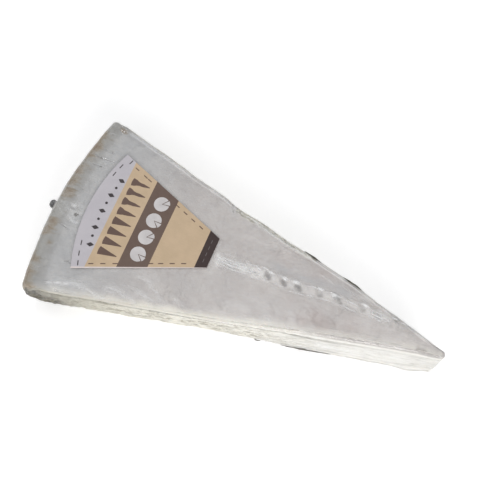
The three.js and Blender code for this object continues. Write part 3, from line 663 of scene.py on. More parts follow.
def film_folds():
    lift, white, shade = np.zeros(len(X)), np.zeros(len(X)), np.zeros(len(X))
    for i, (pts, width, height, pale) in enumerate(TOP_FOLDS):
        f = drawn(X, Y, pts, width, 0.8, 160 + 2 * i) * TOPSIDE
        lift, white = lift + height * f, np.maximum(white, pale * f)
    for i, (pts, width, dark) in enumerate(TOP_GROOVES):
        f = drawn(X, Y, pts, width, 0.8, 210 + 2 * i) * TOPSIDE
        lift, shade = lift - 0.06 * f, np.maximum(shade, dark * f)
    for i, (pts, width, height, pale) in enumerate(RIM_FOLDS):
        f = drawn(ARC, OVER, pts, width, 0.7, 250 + 2 * i) * rim_zone
        lift, white = lift + height * f, np.maximum(white, pale * f)
    for i, (pts, width, dark) in enumerate(RIM_GROOVES):
        f = drawn(ARC, OVER, pts, width, 0.5, 280 + 2 * i) * rim_zone
        lift, shade = lift - 0.14 * f, np.maximum(shade, dark * f)
    # the loose pocket above the knot
    pocket = np.exp(-(((ARC + 4.4) / 4.6) ** 2) - ((OVER - 19.6) / 4.6) ** 2) * rim_zone
    lift += 0.30 * pocket * (0.75 + 0.5 * noise(ARC / 1.6, OVER / 1.6, 0, 40))
    white = np.maximum(white, 0.72 * pocket * smooth(0.75 + noise(ARC / 1.3, OVER / 1.9, 0, 39)))
    # finer folds that run together at the knot
    fan = ridge(noise(k_dir * 3.4, 0.5 + k_dist / 60, 0, 41), 2.2) + 0.6 * ridge(noise(k_dir * 7.0, k_dist / 30, 0, 42), 2.5)
    fan = fan * np.exp(-k_dist / 7.5) * smooth(k_dist / 1.6) * rim_zone
    lift += 0.18 * fan
    white = np.maximum(white, 0.45 * np.clip(fan * 1.3, 0, 1))
    # short creases across the rim
    rim = ridge(noise(ARC / 2.3, OVER / 22, 0, 43), 3.0) * smooth(noise(ARC / 15, OVER / 11, 0, 44) * 1.6 + 0.35)
    rim = rim * smooth((R - 163) / 14) * ON_HEEL
    lift += 0.11 * rim
    white = np.maximum(white, 0.25 * rim)
    # long drawn streaks beside the near edge, their whiteness a painted highlight
    near = ridge(noise(NEAR_IN / 1.3 + X / 60, X / 30, 0, 45), 2.5) * smooth((9 - NEAR_IN) / 8) * smooth((X + 84) / 12) * FLAT
    lift += 0.08 * near
    white = np.maximum(white, 0.35 * near)
    # slanting folds that cross the far edge
    far = ridge(noise((X * 0.86 + Y * 0.50) / 3.0, FAR_IN / 20, 0, 46), 2.4) * smooth((8 - FAR_IN) / 7) * smooth(noise(X / 10, 0.3, 0, 47) * 2 + 0.2)
    lift += 0.11 * far * FLAT
    white = np.maximum(white, 0.25 * far * FLAT)
    # pulls that start at the seam's puckers
    pull = ridge(noise((X - off_seam * 0.25) / 2.2, off_seam / 25, 0, 48), 2.6) * np.exp(-np.abs(off_seam) / 6.0) * along_seam
    lift += 0.09 * pull
    white = np.maximum(white, 0.22 * pull)
    # slack over the rest, cloudy and slight
    slack = ridge(noise(X / 9 + Y / 15, Y / 6 - X / 30, 0, 49), 2.0) * smooth(noise(X / 23, Y / 19, 0, 50) * 1.5 + 0.2) * FLAT
    lift += 0.04 * slack
    drawn_out = ridge(noise((Y - SEAM_SLOPE * X) / 1.7 + 0.12 * X / 9, X / 26, 0, 61), 2.2) * smooth(noise(X / 14, Y / 7, 0, 70) * 1.6 + 0.3)
    drawn_out = drawn_out * smooth((X + 25) / 25) * FLAT
    lift += 0.035 * drawn_out
    white = np.maximum(white, 0.16 * drawn_out)
    haze = sum(w * np.exp(-(((X - a) / ra) ** 2) - ((Y - b) / rb) ** 2) for a, b, ra, rb, w in HAZES) * FLAT
    white = np.maximum(white, np.clip(haze, 0, 0.5) * (0.75 + 0.5 * noise(X / 5, Y / 3, 0, 77)))
    crumple = fbm(X / 6.5, Y / 5.0, 0, 76, 3) * FLAT
    lift += 0.05 * crumple
    # the cuts: nearly flat, a few lengthwise lines
    wall = ridge(noise(Z / 2.3 + X / 45, X / 30, 0, 51), 2.4) * smooth(noise(X / 25, Z / 8, 0, 52) * 1.4 + 0.3) * ON_CUT
    lift += 0.09 * wall
    white = np.maximum(white, 0.12 * wall)
    # gathers at the foot of the cuts, where the film turns under
    foot = ridge(noise(X / 1.9, Z / 9, 0, 55), 1.8) * smooth((3.6 - Z) / 3.0) * ON_CUT * smooth(noise(X / 9, 0.7, 0, 56) + 0.75)
    lift += 0.26 * foot
    white = np.maximum(white, 0.28 * foot)
    # gathered film round the two upright corners and the tip
    for cx, cy, much in ((-84, -44, 0.40), (-85, 44, 0.30)):
        d = np.hypot(X - cx, Y - cy)
        g = ridge(noise(np.arctan2(Z - 3, (X - cx) + 2) * 4.5, d / 30, cy / 9, 53), 2.2) * np.exp(-d / 8.0) * info["wall"]
        lift += much * g
        white = np.maximum(white, (0.10 if cy < 0 else 0.5) * np.clip(g, 0, 1))
    tip = ridge(noise(Z / 2.2, np.hypot(X - 89, Y - 0.7) / 18, 0, 54), 2.2) * np.exp(-np.hypot(X - 89, Y - 0.7) / 10.0) * info["wall"]
    lift += 0.16 * tip
    white = np.maximum(white, 0.3 * tip)
    # painted highlight: the film is made pale over the soft upper near edge, more so towards the tip
    reach = 4.6 + 2.6 * smooth((X - 30) / 40)
    bevel_highlight = smooth((reach - NEAR_IN) / reach) * np.maximum(FLAT, smooth((Z - 19.5) / 2.5) * near_cut)
    bevel_highlight = bevel_highlight * np.where(FLAT > 0, 0.28 - 0.12 * smooth((X - 20) / 30), np.maximum(0.14 * smooth((X + 2) / 45), 0.26 * smooth((Z - 21.75) / 0.45) * smooth((30 - X) / 15))) * smooth((X + 82) / 10) * (0.72 + 0.62 * noise(X / 13, NEAR_IN / 0.95 + X / 26, 0, 58))
    white = np.maximum(white, bevel_highlight)
    # painted shade: thin dark gathers of film over the crumbled near corner
    gathers = ridge(noise(X / 3.4 + Z / 5.0, Z / 1.5, 0, 57), 2.4) * smooth(0.4 + 1.4 * noise(X / 3.0, Z / 2.6, 0, 78))
    shade = np.maximum(shade, 0.42 * CORNER_CRUMB_SHADE * gathers)
    return lift * free, np.clip(white * free, 0, 1), np.clip(shade * free, 0, 1)


# the film's whiteness is partly its own haze where creased or slack and partly painted highlight; its shade is painted
# shade
folds, WHITE, SHADE = film_folds()
WHITE = WHITE * (1 - 0.65 * np.exp(-(((X + 31) / 12) ** 2) - ((Y + 24) / 5) ** 2))
CALM = near_cut * smooth((30 - X) / 50) * (1 - smooth((Z - 21.6) / 0.5) * smooth((X + 40) / 15)) + 0.75 * CORNER_CRUMB_SHADE
seam_mid = SEAM_Y0 + SEAM_SLOPE * X + 0.85 * smooth((X - 22) / 18) + 0.5 * smooth((X - 55) / 10)
in_seam = Y - seam_mid


# the seam's puckers: place along it, depth
PUCKERS = ((2.6, 0.40), (8.1, 1.15), (15.4, 1.0), (22.3, 1.0), (31.6, 0.70), (39.8, 1.0), (50.8, 0.75))


def glints(x, off):
    """Painted glints: the bright crest at the upper side of each pucker."""
    return sum(
        min(1.0, 0.3 + w) * np.exp(-(((x - x0 - dx) / (1.25 * big)) ** 2) - ((off - dy + 0.18 * (x - x0 - dx)) / (0.60 * big)) ** 2)
        for (x0, w), dx, dy, big in zip(PUCKERS, (0.6, 0.8, -0.2, -2.2, -0.6, -2.0, 0.4), (1.9, 1.8, 1.5, 1.8, 2.1, 1.1, 1.8), (1, 1, 1, 1.5, 1.1, 1.5, 1.2))
    )


def painted_highlights():
    """Painted highlights laid into the rind's colour: under creased film, over the far rounding, along the seam and at
    the puckers' glints.
    """
    pale = 0.62 * WHITE * TOPSIDE * (1 - 0.55 * smooth((X - 30) / 30) * smooth((9 - NEAR_IN) / 4))
    for i, (space, _, half, _, white, _) in enumerate(CREASES):
        if white < 0.2:
            continue
        cx, cy, *_, f = crease_line(i)
        a, b = (ARC, OVER) if space == "rim" else (X, Y)
        here = np.nonzero((a > cx.min() - 3) & (a < cx.max() + 3) & (b > cy.min() - 3) & (b < cy.max() + 3) & ((TOPSIDE > 0) | (space == "rim")))[0]
        d, part = near_line(a[here], b[here], np.stack([cx, cy], -1)[::3])
        stroke = white * (0.8 if half > 0.75 else 1.0) * np.exp(-((d / (1.05 * half + (0.5 if half > 0.75 else 0.0))) ** 2)) * smooth(part / 0.15) * smooth((1 - part) / 0.15)
        pale[here] = np.maximum(pale[here], stroke * (0.8 + 0.35 * noise(a[here] / 1.2, b[here] / 1.2, 0, 500)))
    # painted highlight on the far rounding, which faces away from the lamps
    far_round_highlight = np.maximum(TOPSIDE * smooth((1.2 - FAR_IN) / 1.2), far_cut * smooth((Z - 18.5) / 3.0)) * (0.8 + 0.4 * noise(X / 5.0, 0.4, 0, 504))
    pale = np.maximum(pale, 0.95 * far_round_highlight * smooth((X + 80) / 10) * smooth((86 - X) / 8))
    fan = np.exp(-(((in_seam + 0.5) / (2.1 + 0.4 * noise(X / 3, 0.3, 0, 501))) ** 4)) * smooth((X + 18) / 4) * smooth((12 - X) / 8)
    tail = bell(X, 58, 6.5) * bell(in_seam, 0.3, 2.0)
    band = bell(in_seam, 0.0, 2.2) * smooth((X + 16) / 6) * smooth((74 - X) / 8)
    flecks = smooth(0.5 + 1.3 * noise(X / 1.9 + in_seam / 2.5, in_seam / 0.9, 0, 502) + 0.5 * noise(X / 0.9, in_seam / 0.7, 0, 503))
    pale = np.maximum(pale, TOPSIDE * (0.72 * fan * (0.42 + 0.58 * flecks) + 0.66 * tail * (0.25 + 0.75 * flecks) + 0.44 * band))
    # painted highlight beside the label's end
    beside_label = np.exp(-((np.hypot((X + 14.9 + 0.30 * (Y - 0.6)) / 1.3, (Y - 0.6) / 3.2)) ** 4)) * smooth(1.1 + noise(X / 1.2, Y / 1.2, 0, 505))
    pale = np.maximum(pale, 1.0 * beside_label * TOPSIDE)
    pale = np.maximum(pale, glints(X, in_seam) * TOPSIDE)
    return np.clip(pale, 0, 1)


# painted highlights, carried to the cheese as its pale attribute
PALE = painted_highlights()
UNDER = np.exp(-((in_seam / 3.4) ** 6)) * smooth((X + 16) / 4) * smooth((84 - X) / 8) * TOPSIDE
film_d = -0.02 + folds * (1 - info["foot"])
film_d = np.maximum(film_d, cheese_d + 0.10)
film_d = np.where(info["foot"] > 0, 0.0, film_d)


# ---------------------------------------------------------------- making objects
def make_object(name, verts, faces, materials, slots=None, attributes=None, smooth_shade=True):
    mesh = bpy.data.meshes.new(name)
    mesh.from_pydata(np.asarray(verts, float).tolist(), [], [list(map(int, f)) for f in faces])
    for m in materials:
        mesh.materials.append(m)
    if slots is not None:
        mesh.polygons.foreach_set("material_index", np.asarray(slots, np.int32))
    mesh.polygons.foreach_set("use_smooth", np.full(len(mesh.polygons), bool(smooth_shade)))
    for key, values in (attributes or {}).items():
        values = np.asarray(values, np.float32)
        kind = "FLOAT" if values.ndim == 1 else "FLOAT_VECTOR"
        a = mesh.attributes.new(key, kind, "POINT")
        a.data.foreach_set("value" if kind == "FLOAT" else "vector", values.ravel())
    mesh.update()
    mesh.validate()
    ob = bpy.data.objects.new(name, mesh)
    scene.collection.objects.link(ob)
    return ob


def row(p):
    """From the working frame in mm to the row frame in metres."""
    return (np.asarray(p, float) + SHIFT) * MM


# ---------------------------------------------------------------- node helpers
class Mat:
    def __init__(self, name):
        self.m = bpy.data.materials.new(name)
        self.m.use_nodes = True
        self.t = self.m.node_tree
        self.t.nodes.clear()
        self.out = self.t.nodes.new("ShaderNodeOutputMaterial")

    def node(self, kind, **props):
        n = self.t.nodes.new(kind)
        for k, v in props.items():
            setattr(n, k, v)
        return n

    def put(self, socket, value):
        if isinstance(value, bpy.types.NodeSocket):
            self.t.links.new(value, socket)
        elif value is not None:
            if hasattr(socket, "default_value"):
                if isinstance(value, (tuple, list)) and len(value) == 3 and len(socket.default_value) == 4:
                    value = (*value, 1.0)
                socket.default_value = value
        return self

    def math(self, op, a, b=None, c=None, clamp=False):
        n = self.node("ShaderNodeMath", operation=op, use_clamp=clamp)
        for s, v in zip(n.inputs, (a, b, c)):
            self.put(s, v)
        return n.outputs[0]

    def vec(self, op, a, b=None, scale=None):
        n = self.node("ShaderNodeVectorMath", operation=op)
        self.put(n.inputs[0], a)
        if b is not None:
            self.put(n.inputs[1], b)
        if scale is not None:
            self.put(n.inputs["Scale"], scale)
        return n.outputs["Value"] if op in ("LENGTH", "DOT_PRODUCT", "DISTANCE") else n.outputs[0]

    def mix(self, f, a, b, mode="MIX"):
        n = self.node("ShaderNodeMix", data_type="RGBA", blend_type=mode)
        self.put(n.inputs[0], f)
        self.put(n.inputs[6], a)
        self.put(n.inputs[7], b)
        return n.outputs[2]

    def ramp(self, v, lo, hi, a=0.0, b=1.0, kind="SMOOTHSTEP"):
        n = self.node("ShaderNodeMapRange", interpolation_type=kind)
        for s, x in zip(n.inputs, (v, lo, hi, a, b)):
            self.put(s, x)
        return n.outputs[0]

    def coord(self):
        """Object coordinates in mm."""
        return self.vec("SCALE", self.node("ShaderNodeTexCoord").outputs["Object"], scale=1000.0)

    def attr(self, name, out="Fac"):
        return self.node("ShaderNodeAttribute", attribute_name=name).outputs[out]

    def noise(self, vec, size, detail=3.0, rough=0.55, distort=0.0, out="Fac"):
        n = self.node("ShaderNodeTexNoise")
        self.put(n.inputs["Vector"], vec)
        self.put(n.inputs["Scale"], 1.0 / size)
        self.put(n.inputs["Detail"], detail)
        self.put(n.inputs["Roughness"], rough)
        self.put(n.inputs["Distortion"], distort)
        return n.outputs[out]

    def stretched(self, vec, sx, sy, sz):
        return self.vec("MULTIPLY", vec, (1 / sx, 1 / sy, 1 / sz))

    def voronoi(self, vec, size, feature="F1", out="Distance", randomness=1.0):
        n = self.node("ShaderNodeTexVoronoi", feature=feature)
        self.put(n.inputs["Vector"], vec)
        self.put(n.inputs["Scale"], 1.0 / size)
        self.put(n.inputs["Randomness"], randomness)
        return n.outputs[out]

    def bump(self, height, mm, strength=1.0, normal=None):
        n = self.node("ShaderNodeBump")
        self.put(n.inputs["Strength"], strength)
        self.put(n.inputs["Distance"], mm * MM)
        self.put(n.inputs["Height"], height)
        if normal is not None:
            self.put(n.inputs["Normal"], normal)
        return n.outputs[0]

    def principled(self, **values):
        n = self.node("ShaderNodeBsdfPrincipled")
        for k, v in values.items():
            self.put(n.inputs[k.replace("_", " ")], v)
        return n

    def surface(self, socket):
        self.t.links.new(socket, self.out.inputs["Surface"])
        return self.m


def srgb(r, g, b):
    """Linear colour of an sRGB one given from 0 to 255."""
    return tuple((c / 255 / 12.92) if c / 255 <= 0.04045 else ((c / 255 + 0.055) / 1.055) ** 2.4 for c in (r, g, b))


# ---------------------------------------------------------------- cheese
def cheese_material():
    k = Mat("brie_rind_and_paste")
    p = k.coord()
    roll = k.attr("roll", "Vector")  # along the rim, over the rim, height
    depth, hole, line = k.attr("depth"), k.attr("hole"), k.attr("line")
    sep = k.node("ShaderNodeSeparateXYZ")
    k.put(sep.inputs[0], p)
    px, py, pz = sep.outputs
    rsep = k.node("ShaderNodeSeparateXYZ")
    k.put(rsep.inputs[0], roll)
    arc, over, _ = rsep.outputs

    # downy rind: soft cloudy patches, finer flecks, worn lines; painted light makes it cooler and darker by the heel
    # and lighter and faintly rosy towards the tip
    clouds = k.noise(p, 17.0, 3.0, 0.55)
    patches = k.noise(p, 5.5, 4.0, 0.6)
    flecks = k.noise(p, 1.1, 3.0, 0.6)
    warm_light = k.ramp(px, -74.0, -26.0)
    low = k.mix(warm_light, srgb(214, 214, 215), srgb(228, 222, 219))
    high = k.mix(warm_light, srgb(229, 229, 229), srgb(243, 237, 233))
    rind = k.mix(k.ramp(clouds, 0.32, 0.68), low, high)
    rind = k.mix(k.math("MULTIPLY", k.ramp(patches, 0.50, 0.72), 0.50), rind, k.mix(warm_light, srgb(202, 203, 204), srgb(214, 206, 203)))
    rind = k.mix(k.math("MULTIPLY", k.ramp(flecks, 0.52, 0.75), 0.30), rind, srgb(240, 237, 233))
    mottle = k.noise(p, 2.6, 4.0, 0.66, 0.4)
    rind = k.mix(k.math("MULTIPLY", k.ramp(mottle, 0.50, 0.66), 0.42), rind, k.mix(warm_light, srgb(206, 207, 208), srgb(216, 207, 203)))
    rind = k.mix(k.math("MULTIPLY", k.ramp(mottle, 0.46, 0.32), 0.42), rind, srgb(247, 244, 241))
    # painted shade: the rind is greyed towards the heel, and again at the very tip
    rind = k.mix(k.math("ADD", k.ramp(px, 2.0, -26.0, 0.0, 0.115), k.ramp(px, 76.0, 86.0, 0.0, 0.11)), rind, srgb(120, 120, 122))
    rind = k.mix(k.math("MULTIPLY", k.attr("bloom"), 0.32), rind, srgb(214, 190, 184))
    rind = k.mix(k.math("MULTIPLY", k.attr("vein"), 0.40), rind, srgb(172, 154, 150))
    # painted shadow beside the seam, a bluish grey
    rind = k.mix(k.math("MULTIPLY", k.attr("seam_shadow"), 0.42), rind, srgb(198, 203, 209))
    hair = k.math("ABSOLUTE", k.math("SUBTRACT", k.noise(k.stretched(p, 1.0, 1.6, 1.0), 12.0, 4.0, 0.62, 0.6), 0.5))
    hair = k.math("MULTIPLY", k.ramp(hair, 0.016, 0.0), k.ramp(k.noise(p, 14.0, 1.0), 0.5, 0.62))
    rind = k.mix(k.math("MULTIPLY", hair, 0.30), rind, srgb(158, 153, 150))

    # the cream-tinted painted highlight along the near upper edge
    cream_highlight = k.mix(k.ramp(px, -40.0, 10.0), srgb(254, 250, 236), srgb(255, 252, 242))
    cream_highlight = k.mix(k.math("MULTIPLY", k.ramp(k.noise(p, 6.0, 3.0), 0.45, 0.66), k.ramp(px, 0.0, -60.0, 0.08, 0.4)), cream_highlight, srgb(243, 230, 210))
    rind = k.mix(k.attr("cream_highlight"), rind, cream_highlight)
    # painted highlights: the rind is made nearly white where pale is set
    highlight_paint = k.math("MULTIPLY", k.attr("pale"), 0.9)
    rind = k.mix(highlight_paint, rind, k.mix(warm_light, srgb(250, 251, 252), srgb(254, 252, 250)))

    # rim: tan and grey-brown stains, drawn out in short threads across it
    rimness = k.ramp(over, 23.0, 8.5)
    thread = k.noise(k.stretched(roll, 1.0, 6.0, 50.0), 0.85, 4.0, 0.62)
    thread2 = k.noise(k.stretched(roll, 1.0, 4.0, 50.0), 2.2, 3.0, 0.6)
    blot = k.noise(k.stretched(roll, 1.0, 1.25, 50.0), 6.0, 3.0, 0.6)
    rind = k.mix(k.math("MULTIPLY", rimness, 0.66), rind, srgb(180, 177, 166))
    stain = 0.0
    for a, o, wa, wo, weight in (
        (34.5, 9.2, 3.6, 4.6, 0.95), (29.5, 10.6, 3.4, 4.6, 1.0), (24.5, 9.6, 3.0, 4.2, 0.8), (15.5, 10.4, 3.4, 4.6, 1.0),
        (9.5, 10.6, 3.8, 4.4, 0.95), (-12.5, 12.0, 2.6, 4.0, 0.85), (-17.0, 11.0, 3.2, 4.2, 0.8), (-22.4, 15.0, 2.0, 2.6, 0.45), (3.5, 12.5, 3.4, 4.4, 0.95), (-46.5, 7.0, 3.4, 5.0, 0.9),
        (-31.0, 9.0, 3.6, 4.4, 0.8), (-37.5, 9.5, 3.8, 4.4, 0.95), (-44.5, 10.0, 3.4, 4.6, 0.85), (42.9, 17.6, 1.5, 2.8, 0.9),
        (-3.0, 3.0, 8.0, 5.0, 0.5), (20.0, -3.0, 9.0, 6.0, 0.85), (-26.0, -2.0, 10.0, 6.0, 0.85), (39.0, -3.0, 6.0, 7.0, 0.75),
        (4.0, -7.0, 8.0, 3.6, 0.7), (-9.0, -4.0, 6.0, 4.0, 0.55), (-41.0, -4.0, 6.0, 6.0, 0.7),
    ):
        da = k.math("DIVIDE", k.math("SUBTRACT", arc, a), wa)
        do = k.math("DIVIDE", k.math("SUBTRACT", over, o), wo)
        q = k.math("ADD", k.math("MULTIPLY", da, da), k.math("MULTIPLY", do, do))
        stain = k.math("MAXIMUM", k.math("MULTIPLY", k.math("EXPONENT", k.math("MULTIPLY", q, -1.0)), weight), stain)
    s1 = k.math("ADD", stain, k.math("MULTIPLY", k.math("SUBTRACT", thread, 0.5), 1.1))
    s1 = k.math("ADD", s1, k.math("MULTIPLY", k.math("SUBTRACT", thread2, 0.5), 1.1))
    s1 = k.math("ADD", s1, k.math("MULTIPLY", k.math("SUBTRACT", blot, 0.5), 0.7))
    band = k.math("MULTIPLY", k.ramp(over, 24.0, 17.0), k.ramp(over, -15.0, -7.0))
    s1 = k.math("MULTIPLY", s1, band)
    rind = k.mix(k.math("MULTIPLY", k.ramp(s1, 0.10, 0.75), 0.85), rind, srgb(178, 161, 136))
    rind = k.mix(k.math("MULTIPLY", k.ramp(s1, 0.62, 1.05), 0.60), rind, srgb(150, 121, 94))
    dark = k.math("MULTIPLY", k.ramp(thread, 0.56, 0.70), k.math("MULTIPLY", band, k.ramp(blot, 0.42, 0.6)))
    rind = k.mix(k.math("MULTIPLY", dark, 0.34), rind, srgb(128, 122, 106))
    # tiny darker specks of old mould
    speck = k.voronoi(k.stretched(roll, 1.0, 1.4, 50.0), 2.6)
    speck = k.math("MULTIPLY", k.math("MULTIPLY", k.ramp(speck, 0.16, 0.06), k.ramp(blot, 0.5, 0.62)), rimness)
    rind = k.mix(k.math("MULTIPLY", speck, 0.35), rind, srgb(112, 108, 98))

    # paste: ivory, whiter and chalkier towards the tip, greyer to the rim, partly painted light and shade; the dark
    # grey of the heel end is painted shade, and holes and creases are darkened by painted shade
    body = k.noise(k.stretched(p, 2.6, 2.6, 1.0), 4.0, 4.0, 0.6)
    fine = k.noise(p, 0.9, 3.0, 0.65)
    paste = k.mix(k.ramp(px, -86.0, -52.0), srgb(112, 106, 90), srgb(212, 208, 192))
    paste = k.mix(k.ramp(px, -58.0, -18.0), paste, srgb(248, 245, 233))
    paste = k.mix(k.ramp(px, 0.0, 50.0), paste, srgb(246, 245, 241))
    paste = k.mix(k.math("MULTIPLY", k.ramp(px, 62.0, 84.0), 0.45), paste, srgb(232, 231, 227))
    drawn = k.ramp(k.noise(k.stretched(p, 26.0, 26.0, 1.0), 1.5, 4.0, 0.6, 0.3), 0.50, 0.66)
    paste = k.mix(k.math("MULTIPLY", drawn, k.ramp(px, 0.0, 60.0, 0.10, 0.42)), paste, srgb(214, 211, 204))
    tipward = k.ramp(px, -10.0, 70.0, 1.0, 0.35)
    paste = k.mix(k.math("MULTIPLY", k.math("MULTIPLY", k.ramp(body, 0.42, 0.66), 0.40), tipward), paste, srgb(210, 203, 183))
    paste = k.mix(k.math("MULTIPLY", k.ramp(fine, 0.48, 0.7), 0.30), paste, srgb(248, 245, 236))
    cluster = k.ramp(k.noise(k.stretched(p, 1.6, 1.6, 1.0), 7.0, 2.0, 0.5), 0.40, 0.58)
    slit = k.noise(k.stretched(p, 2.1, 2.1, 0.75), 1.05, 3.0, 0.55, 0.4)
    slit = k.math("MULTIPLY", k.math("MULTIPLY", k.ramp(slit, 0.595, 0.66), cluster), tipward)
    # tears: thin broken lines running lengthwise where the knife dragged the soft paste
    drag = k.noise(k.stretched(p, 3.4, 3.4, 1.0), 2.3, 4.0, 0.6, 0.5)
    tear = k.ramp(k.math("ABSOLUTE", k.math("SUBTRACT", drag, 0.52)), 0.045, 0.006)
    tear = k.math("MULTIPLY", k.math("MULTIPLY", tear, k.ramp(body, 0.40, 0.56)), tipward)
    slit = k.math("MAXIMUM", slit, k.math("MULTIPLY", tear, 0.85))
    # crumbled patches, taller than the tears so that they show from above too
    crumb = k.noise(k.stretched(p, 1.5, 1.5, 1.5), 1.5, 4.0, 0.62, 0.7)
    crumb = k.math("MULTIPLY", k.ramp(crumb, 0.535, 0.60), k.ramp(k.noise(k.stretched(p, 1.4, 1.4, 1.2), 7.5, 2.0, 0.5), 0.44, 0.56))
    crumb = k.math("MULTIPLY", crumb, k.ramp(px, -15.0, 60.0, 1.0, 0.15))
    slit = k.math("MAXIMUM", slit, k.math("MULTIPLY", crumb, 0.85))
    # the heel's end is coarser, and painted shade darkens it along its foot
    coarse = k.noise(k.stretched(p, 1.6, 1.6, 1.3), 1.0, 4.0, 0.66, 0.8)
    coarse = k.math("MULTIPLY", k.ramp(coarse, 0.50, 0.60), k.ramp(px, -38.0, -72.0))
    slit = k.math("MAXIMUM", slit, k.math("MULTIPLY", coarse, 0.8))
    foot = k.math("MULTIPLY", k.ramp(k.math("ADD", pz, k.math("MULTIPLY", k.noise(p, 3.0, 3.0, 0.6), 8.0)), 21.0, 11.0), k.ramp(px, -56.0, -76.0))
    paste = k.mix(k.math("MULTIPLY", foot, 0.6), paste, srgb(100, 95, 80))
    # painted shade: holes, slits, tears and crumbs are darkened where shade falls in them
    hole_shade = k.math("MAXIMUM", k.ramp(hole, 0.16, 0.62), slit)
    paste = k.mix(k.math("MULTIPLY", hole_shade, 0.76), paste, k.mix(k.ramp(px, -84.0, -30.0), srgb(104, 98, 80), srgb(138, 130, 108)))
    # the rind seen end-on, greyed by painted shade at the heel end, and the thin darker line under it, a painted shadow
    # under the rind's lip
    line_at = k.attr("line_at")
    wobble = k.math("MULTIPLY", k.math("SUBTRACT", k.noise(k.stretched(p, 2.2, 1.0, 1.0), 2.2, 3.0), 0.5), k.math("MULTIPLY_ADD", line_at, 0.30, 0.30))
    inner = k.math("ADD", depth, wobble)
    rind_cut = k.mix(k.ramp(px, -84.0, -66.0), srgb(150, 143, 124), k.mix(k.ramp(px, -60.0, 0.0), srgb(232, 227, 213), srgb(250, 248, 242)))
    rind_cut = k.mix(k.math("MULTIPLY", k.ramp(k.noise(p, 1.6, 3.0), 0.35, 0.7), 0.35), rind_cut, srgb(240, 237, 230))
    edge = k.math("SUBTRACT", inner, line_at)
    soft = k.math("MULTIPLY_ADD", line_at, 0.10, 0.12)
    cut = k.mix(k.ramp(edge, k.math("MULTIPLY", soft, -1.0), soft), rind_cut, paste)
    broken = k.ramp(k.noise(k.stretched(p, 3.0, 3.0, 1.0), 2.4, 3.0), 0.36, 0.50)
    broken = k.math("MULTIPLY_ADD", broken, 0.45, 0.55)
    lip_shadow = k.ramp(k.math("ABSOLUTE", k.math("SUBTRACT", edge, 0.3)), k.math("MULTIPLY_ADD", line_at, 0.28, 0.30), k.math("MULTIPLY_ADD", line_at, 0.10, 0.06))
    lip_shadow = k.math("MULTIPLY", k.math("MULTIPLY", lip_shadow, broken), line)
    cut = k.mix(k.math("MULTIPLY", lip_shadow, k.math("MULTIPLY", k.ramp(px, 72.0, 40.0, 0.18, 0.60), k.ramp(px, -14.0, -50.0, 1.0, 0.22))), cut, srgb(118, 111, 92))
    # painted shade: just under the crease the cut is a little darker
    below_shade = k.math("MULTIPLY", k.math("MULTIPLY", k.ramp(edge, 2.6, 0.4), k.ramp(edge, 0.0, 0.4)), k.ramp(px, 60.0, -10.0, 0.4, 1.0))
    cut = k.mix(k.math("MULTIPLY", below_shade, 0.10), cut, srgb(140, 134, 118))
    later = k.math("MULTIPLY", k.ramp(px, 24.0, 8.0, 0.0, 0.20), k.ramp(px, -40.0, -20.0))
    to_cut = k.ramp(depth, k.math("MULTIPLY_ADD", line_at, 0.22, later), k.math("ADD", k.math("MULTIPLY_ADD", line_at, 0.60, 0.05), later))
    colour = k.mix(to_cut, rind, cut)
    # painted shade: the crumbled corner is darkened to olive grey, broken by crumbly noise
    crumble = k.noise(k.stretched(p, 1.5, 1.5, 2.4), 1.5, 4.0, 0.66, 0.8)
    corner_shade = k.mix(k.ramp(crumble, 0.42, 0.58), k.mix(k.ramp(px, -80.0, -70.0), srgb(98, 90, 70), srgb(156, 148, 124)), srgb(60, 55, 42))
    corner = k.attr("corner")
    colour = k.mix(k.ramp(k.math("ADD", corner, k.math("MULTIPLY", k.math("SUBTRACT", crumble, 0.5), 1.5)), 0.25, 0.75, 0.0, 0.90), colour, corner_shade)

    # down and grain in the surface
    down = k.math("ADD", k.math("MULTIPLY", k.noise(p, 0.55, 4.0, 0.7), 0.6), k.math("MULTIPLY", k.noise(p, 2.4, 3.0, 0.6), 0.8))
    on_cut = k.ramp(depth, 0.4, 0.9)
    down = k.math("SUBTRACT", down, k.math("MULTIPLY", k.math("MULTIPLY", slit, on_cut), 1.8))
    down = k.math("ADD", down, k.math("MULTIPLY", k.math("MULTIPLY", k.noise(k.stretched(p, 1.6, 1.6, 1.0), 2.2, 3.0, 0.6), on_cut), 2.2))
    n1 = k.bump(down, 0.26, 0.7)
    rough = k.ramp(depth, 0.25, 0.6, 0.82, 0.50)
    # painted light: under the painted highlights the colour keeps full strength, elsewhere it is dimmed to 0.8, and on
    # the cut to 0.86
    lit = k.math("MAXIMUM", k.attr("pale"), k.attr("cream_highlight"))
    # painted shade: the tip's rounded shoulder is made greyer than what lies on both sides of it
    shoulder_shade = k.math("MULTIPLY", k.math("MULTIPLY", k.ramp(depth, 0.0, 0.3), k.ramp(depth, 2.2, 1.1)), k.ramp(px, 32.0, 60.0))
    dim = k.mix(lit, (0.80, 0.80, 0.80), (1.0, 1.0, 1.0))
    dim = k.mix(shoulder_shade, dim, (0.76, 0.76, 0.76))
    lit_cut = k.math("MAXIMUM", k.attr("pale"), k.math("MULTIPLY", k.attr("cream_highlight"), k.ramp(edge, 0.2, -0.1)))
    dim_cut = k.mix(lit_cut, (0.86, 0.86, 0.86), (1.0, 1.0, 1.0))
    colour = k.mix(1.0, colour, k.mix(to_cut, dim, dim_cut), "MULTIPLY")
    sh = k.principled(Base_Color=colour, Roughness=rough, Normal=n1, IOR=1.42)
    k.put(sh.inputs["Specular IOR Level"], 0.3)
    k.put(sh.inputs["Subsurface Weight"], 0.12)
    k.put(sh.inputs["Subsurface Scale"], 0.002)
    k.put(sh.inputs["Subsurface Radius"], (1.0, 0.8, 0.6))
    return k.surface(sh.outputs[0])


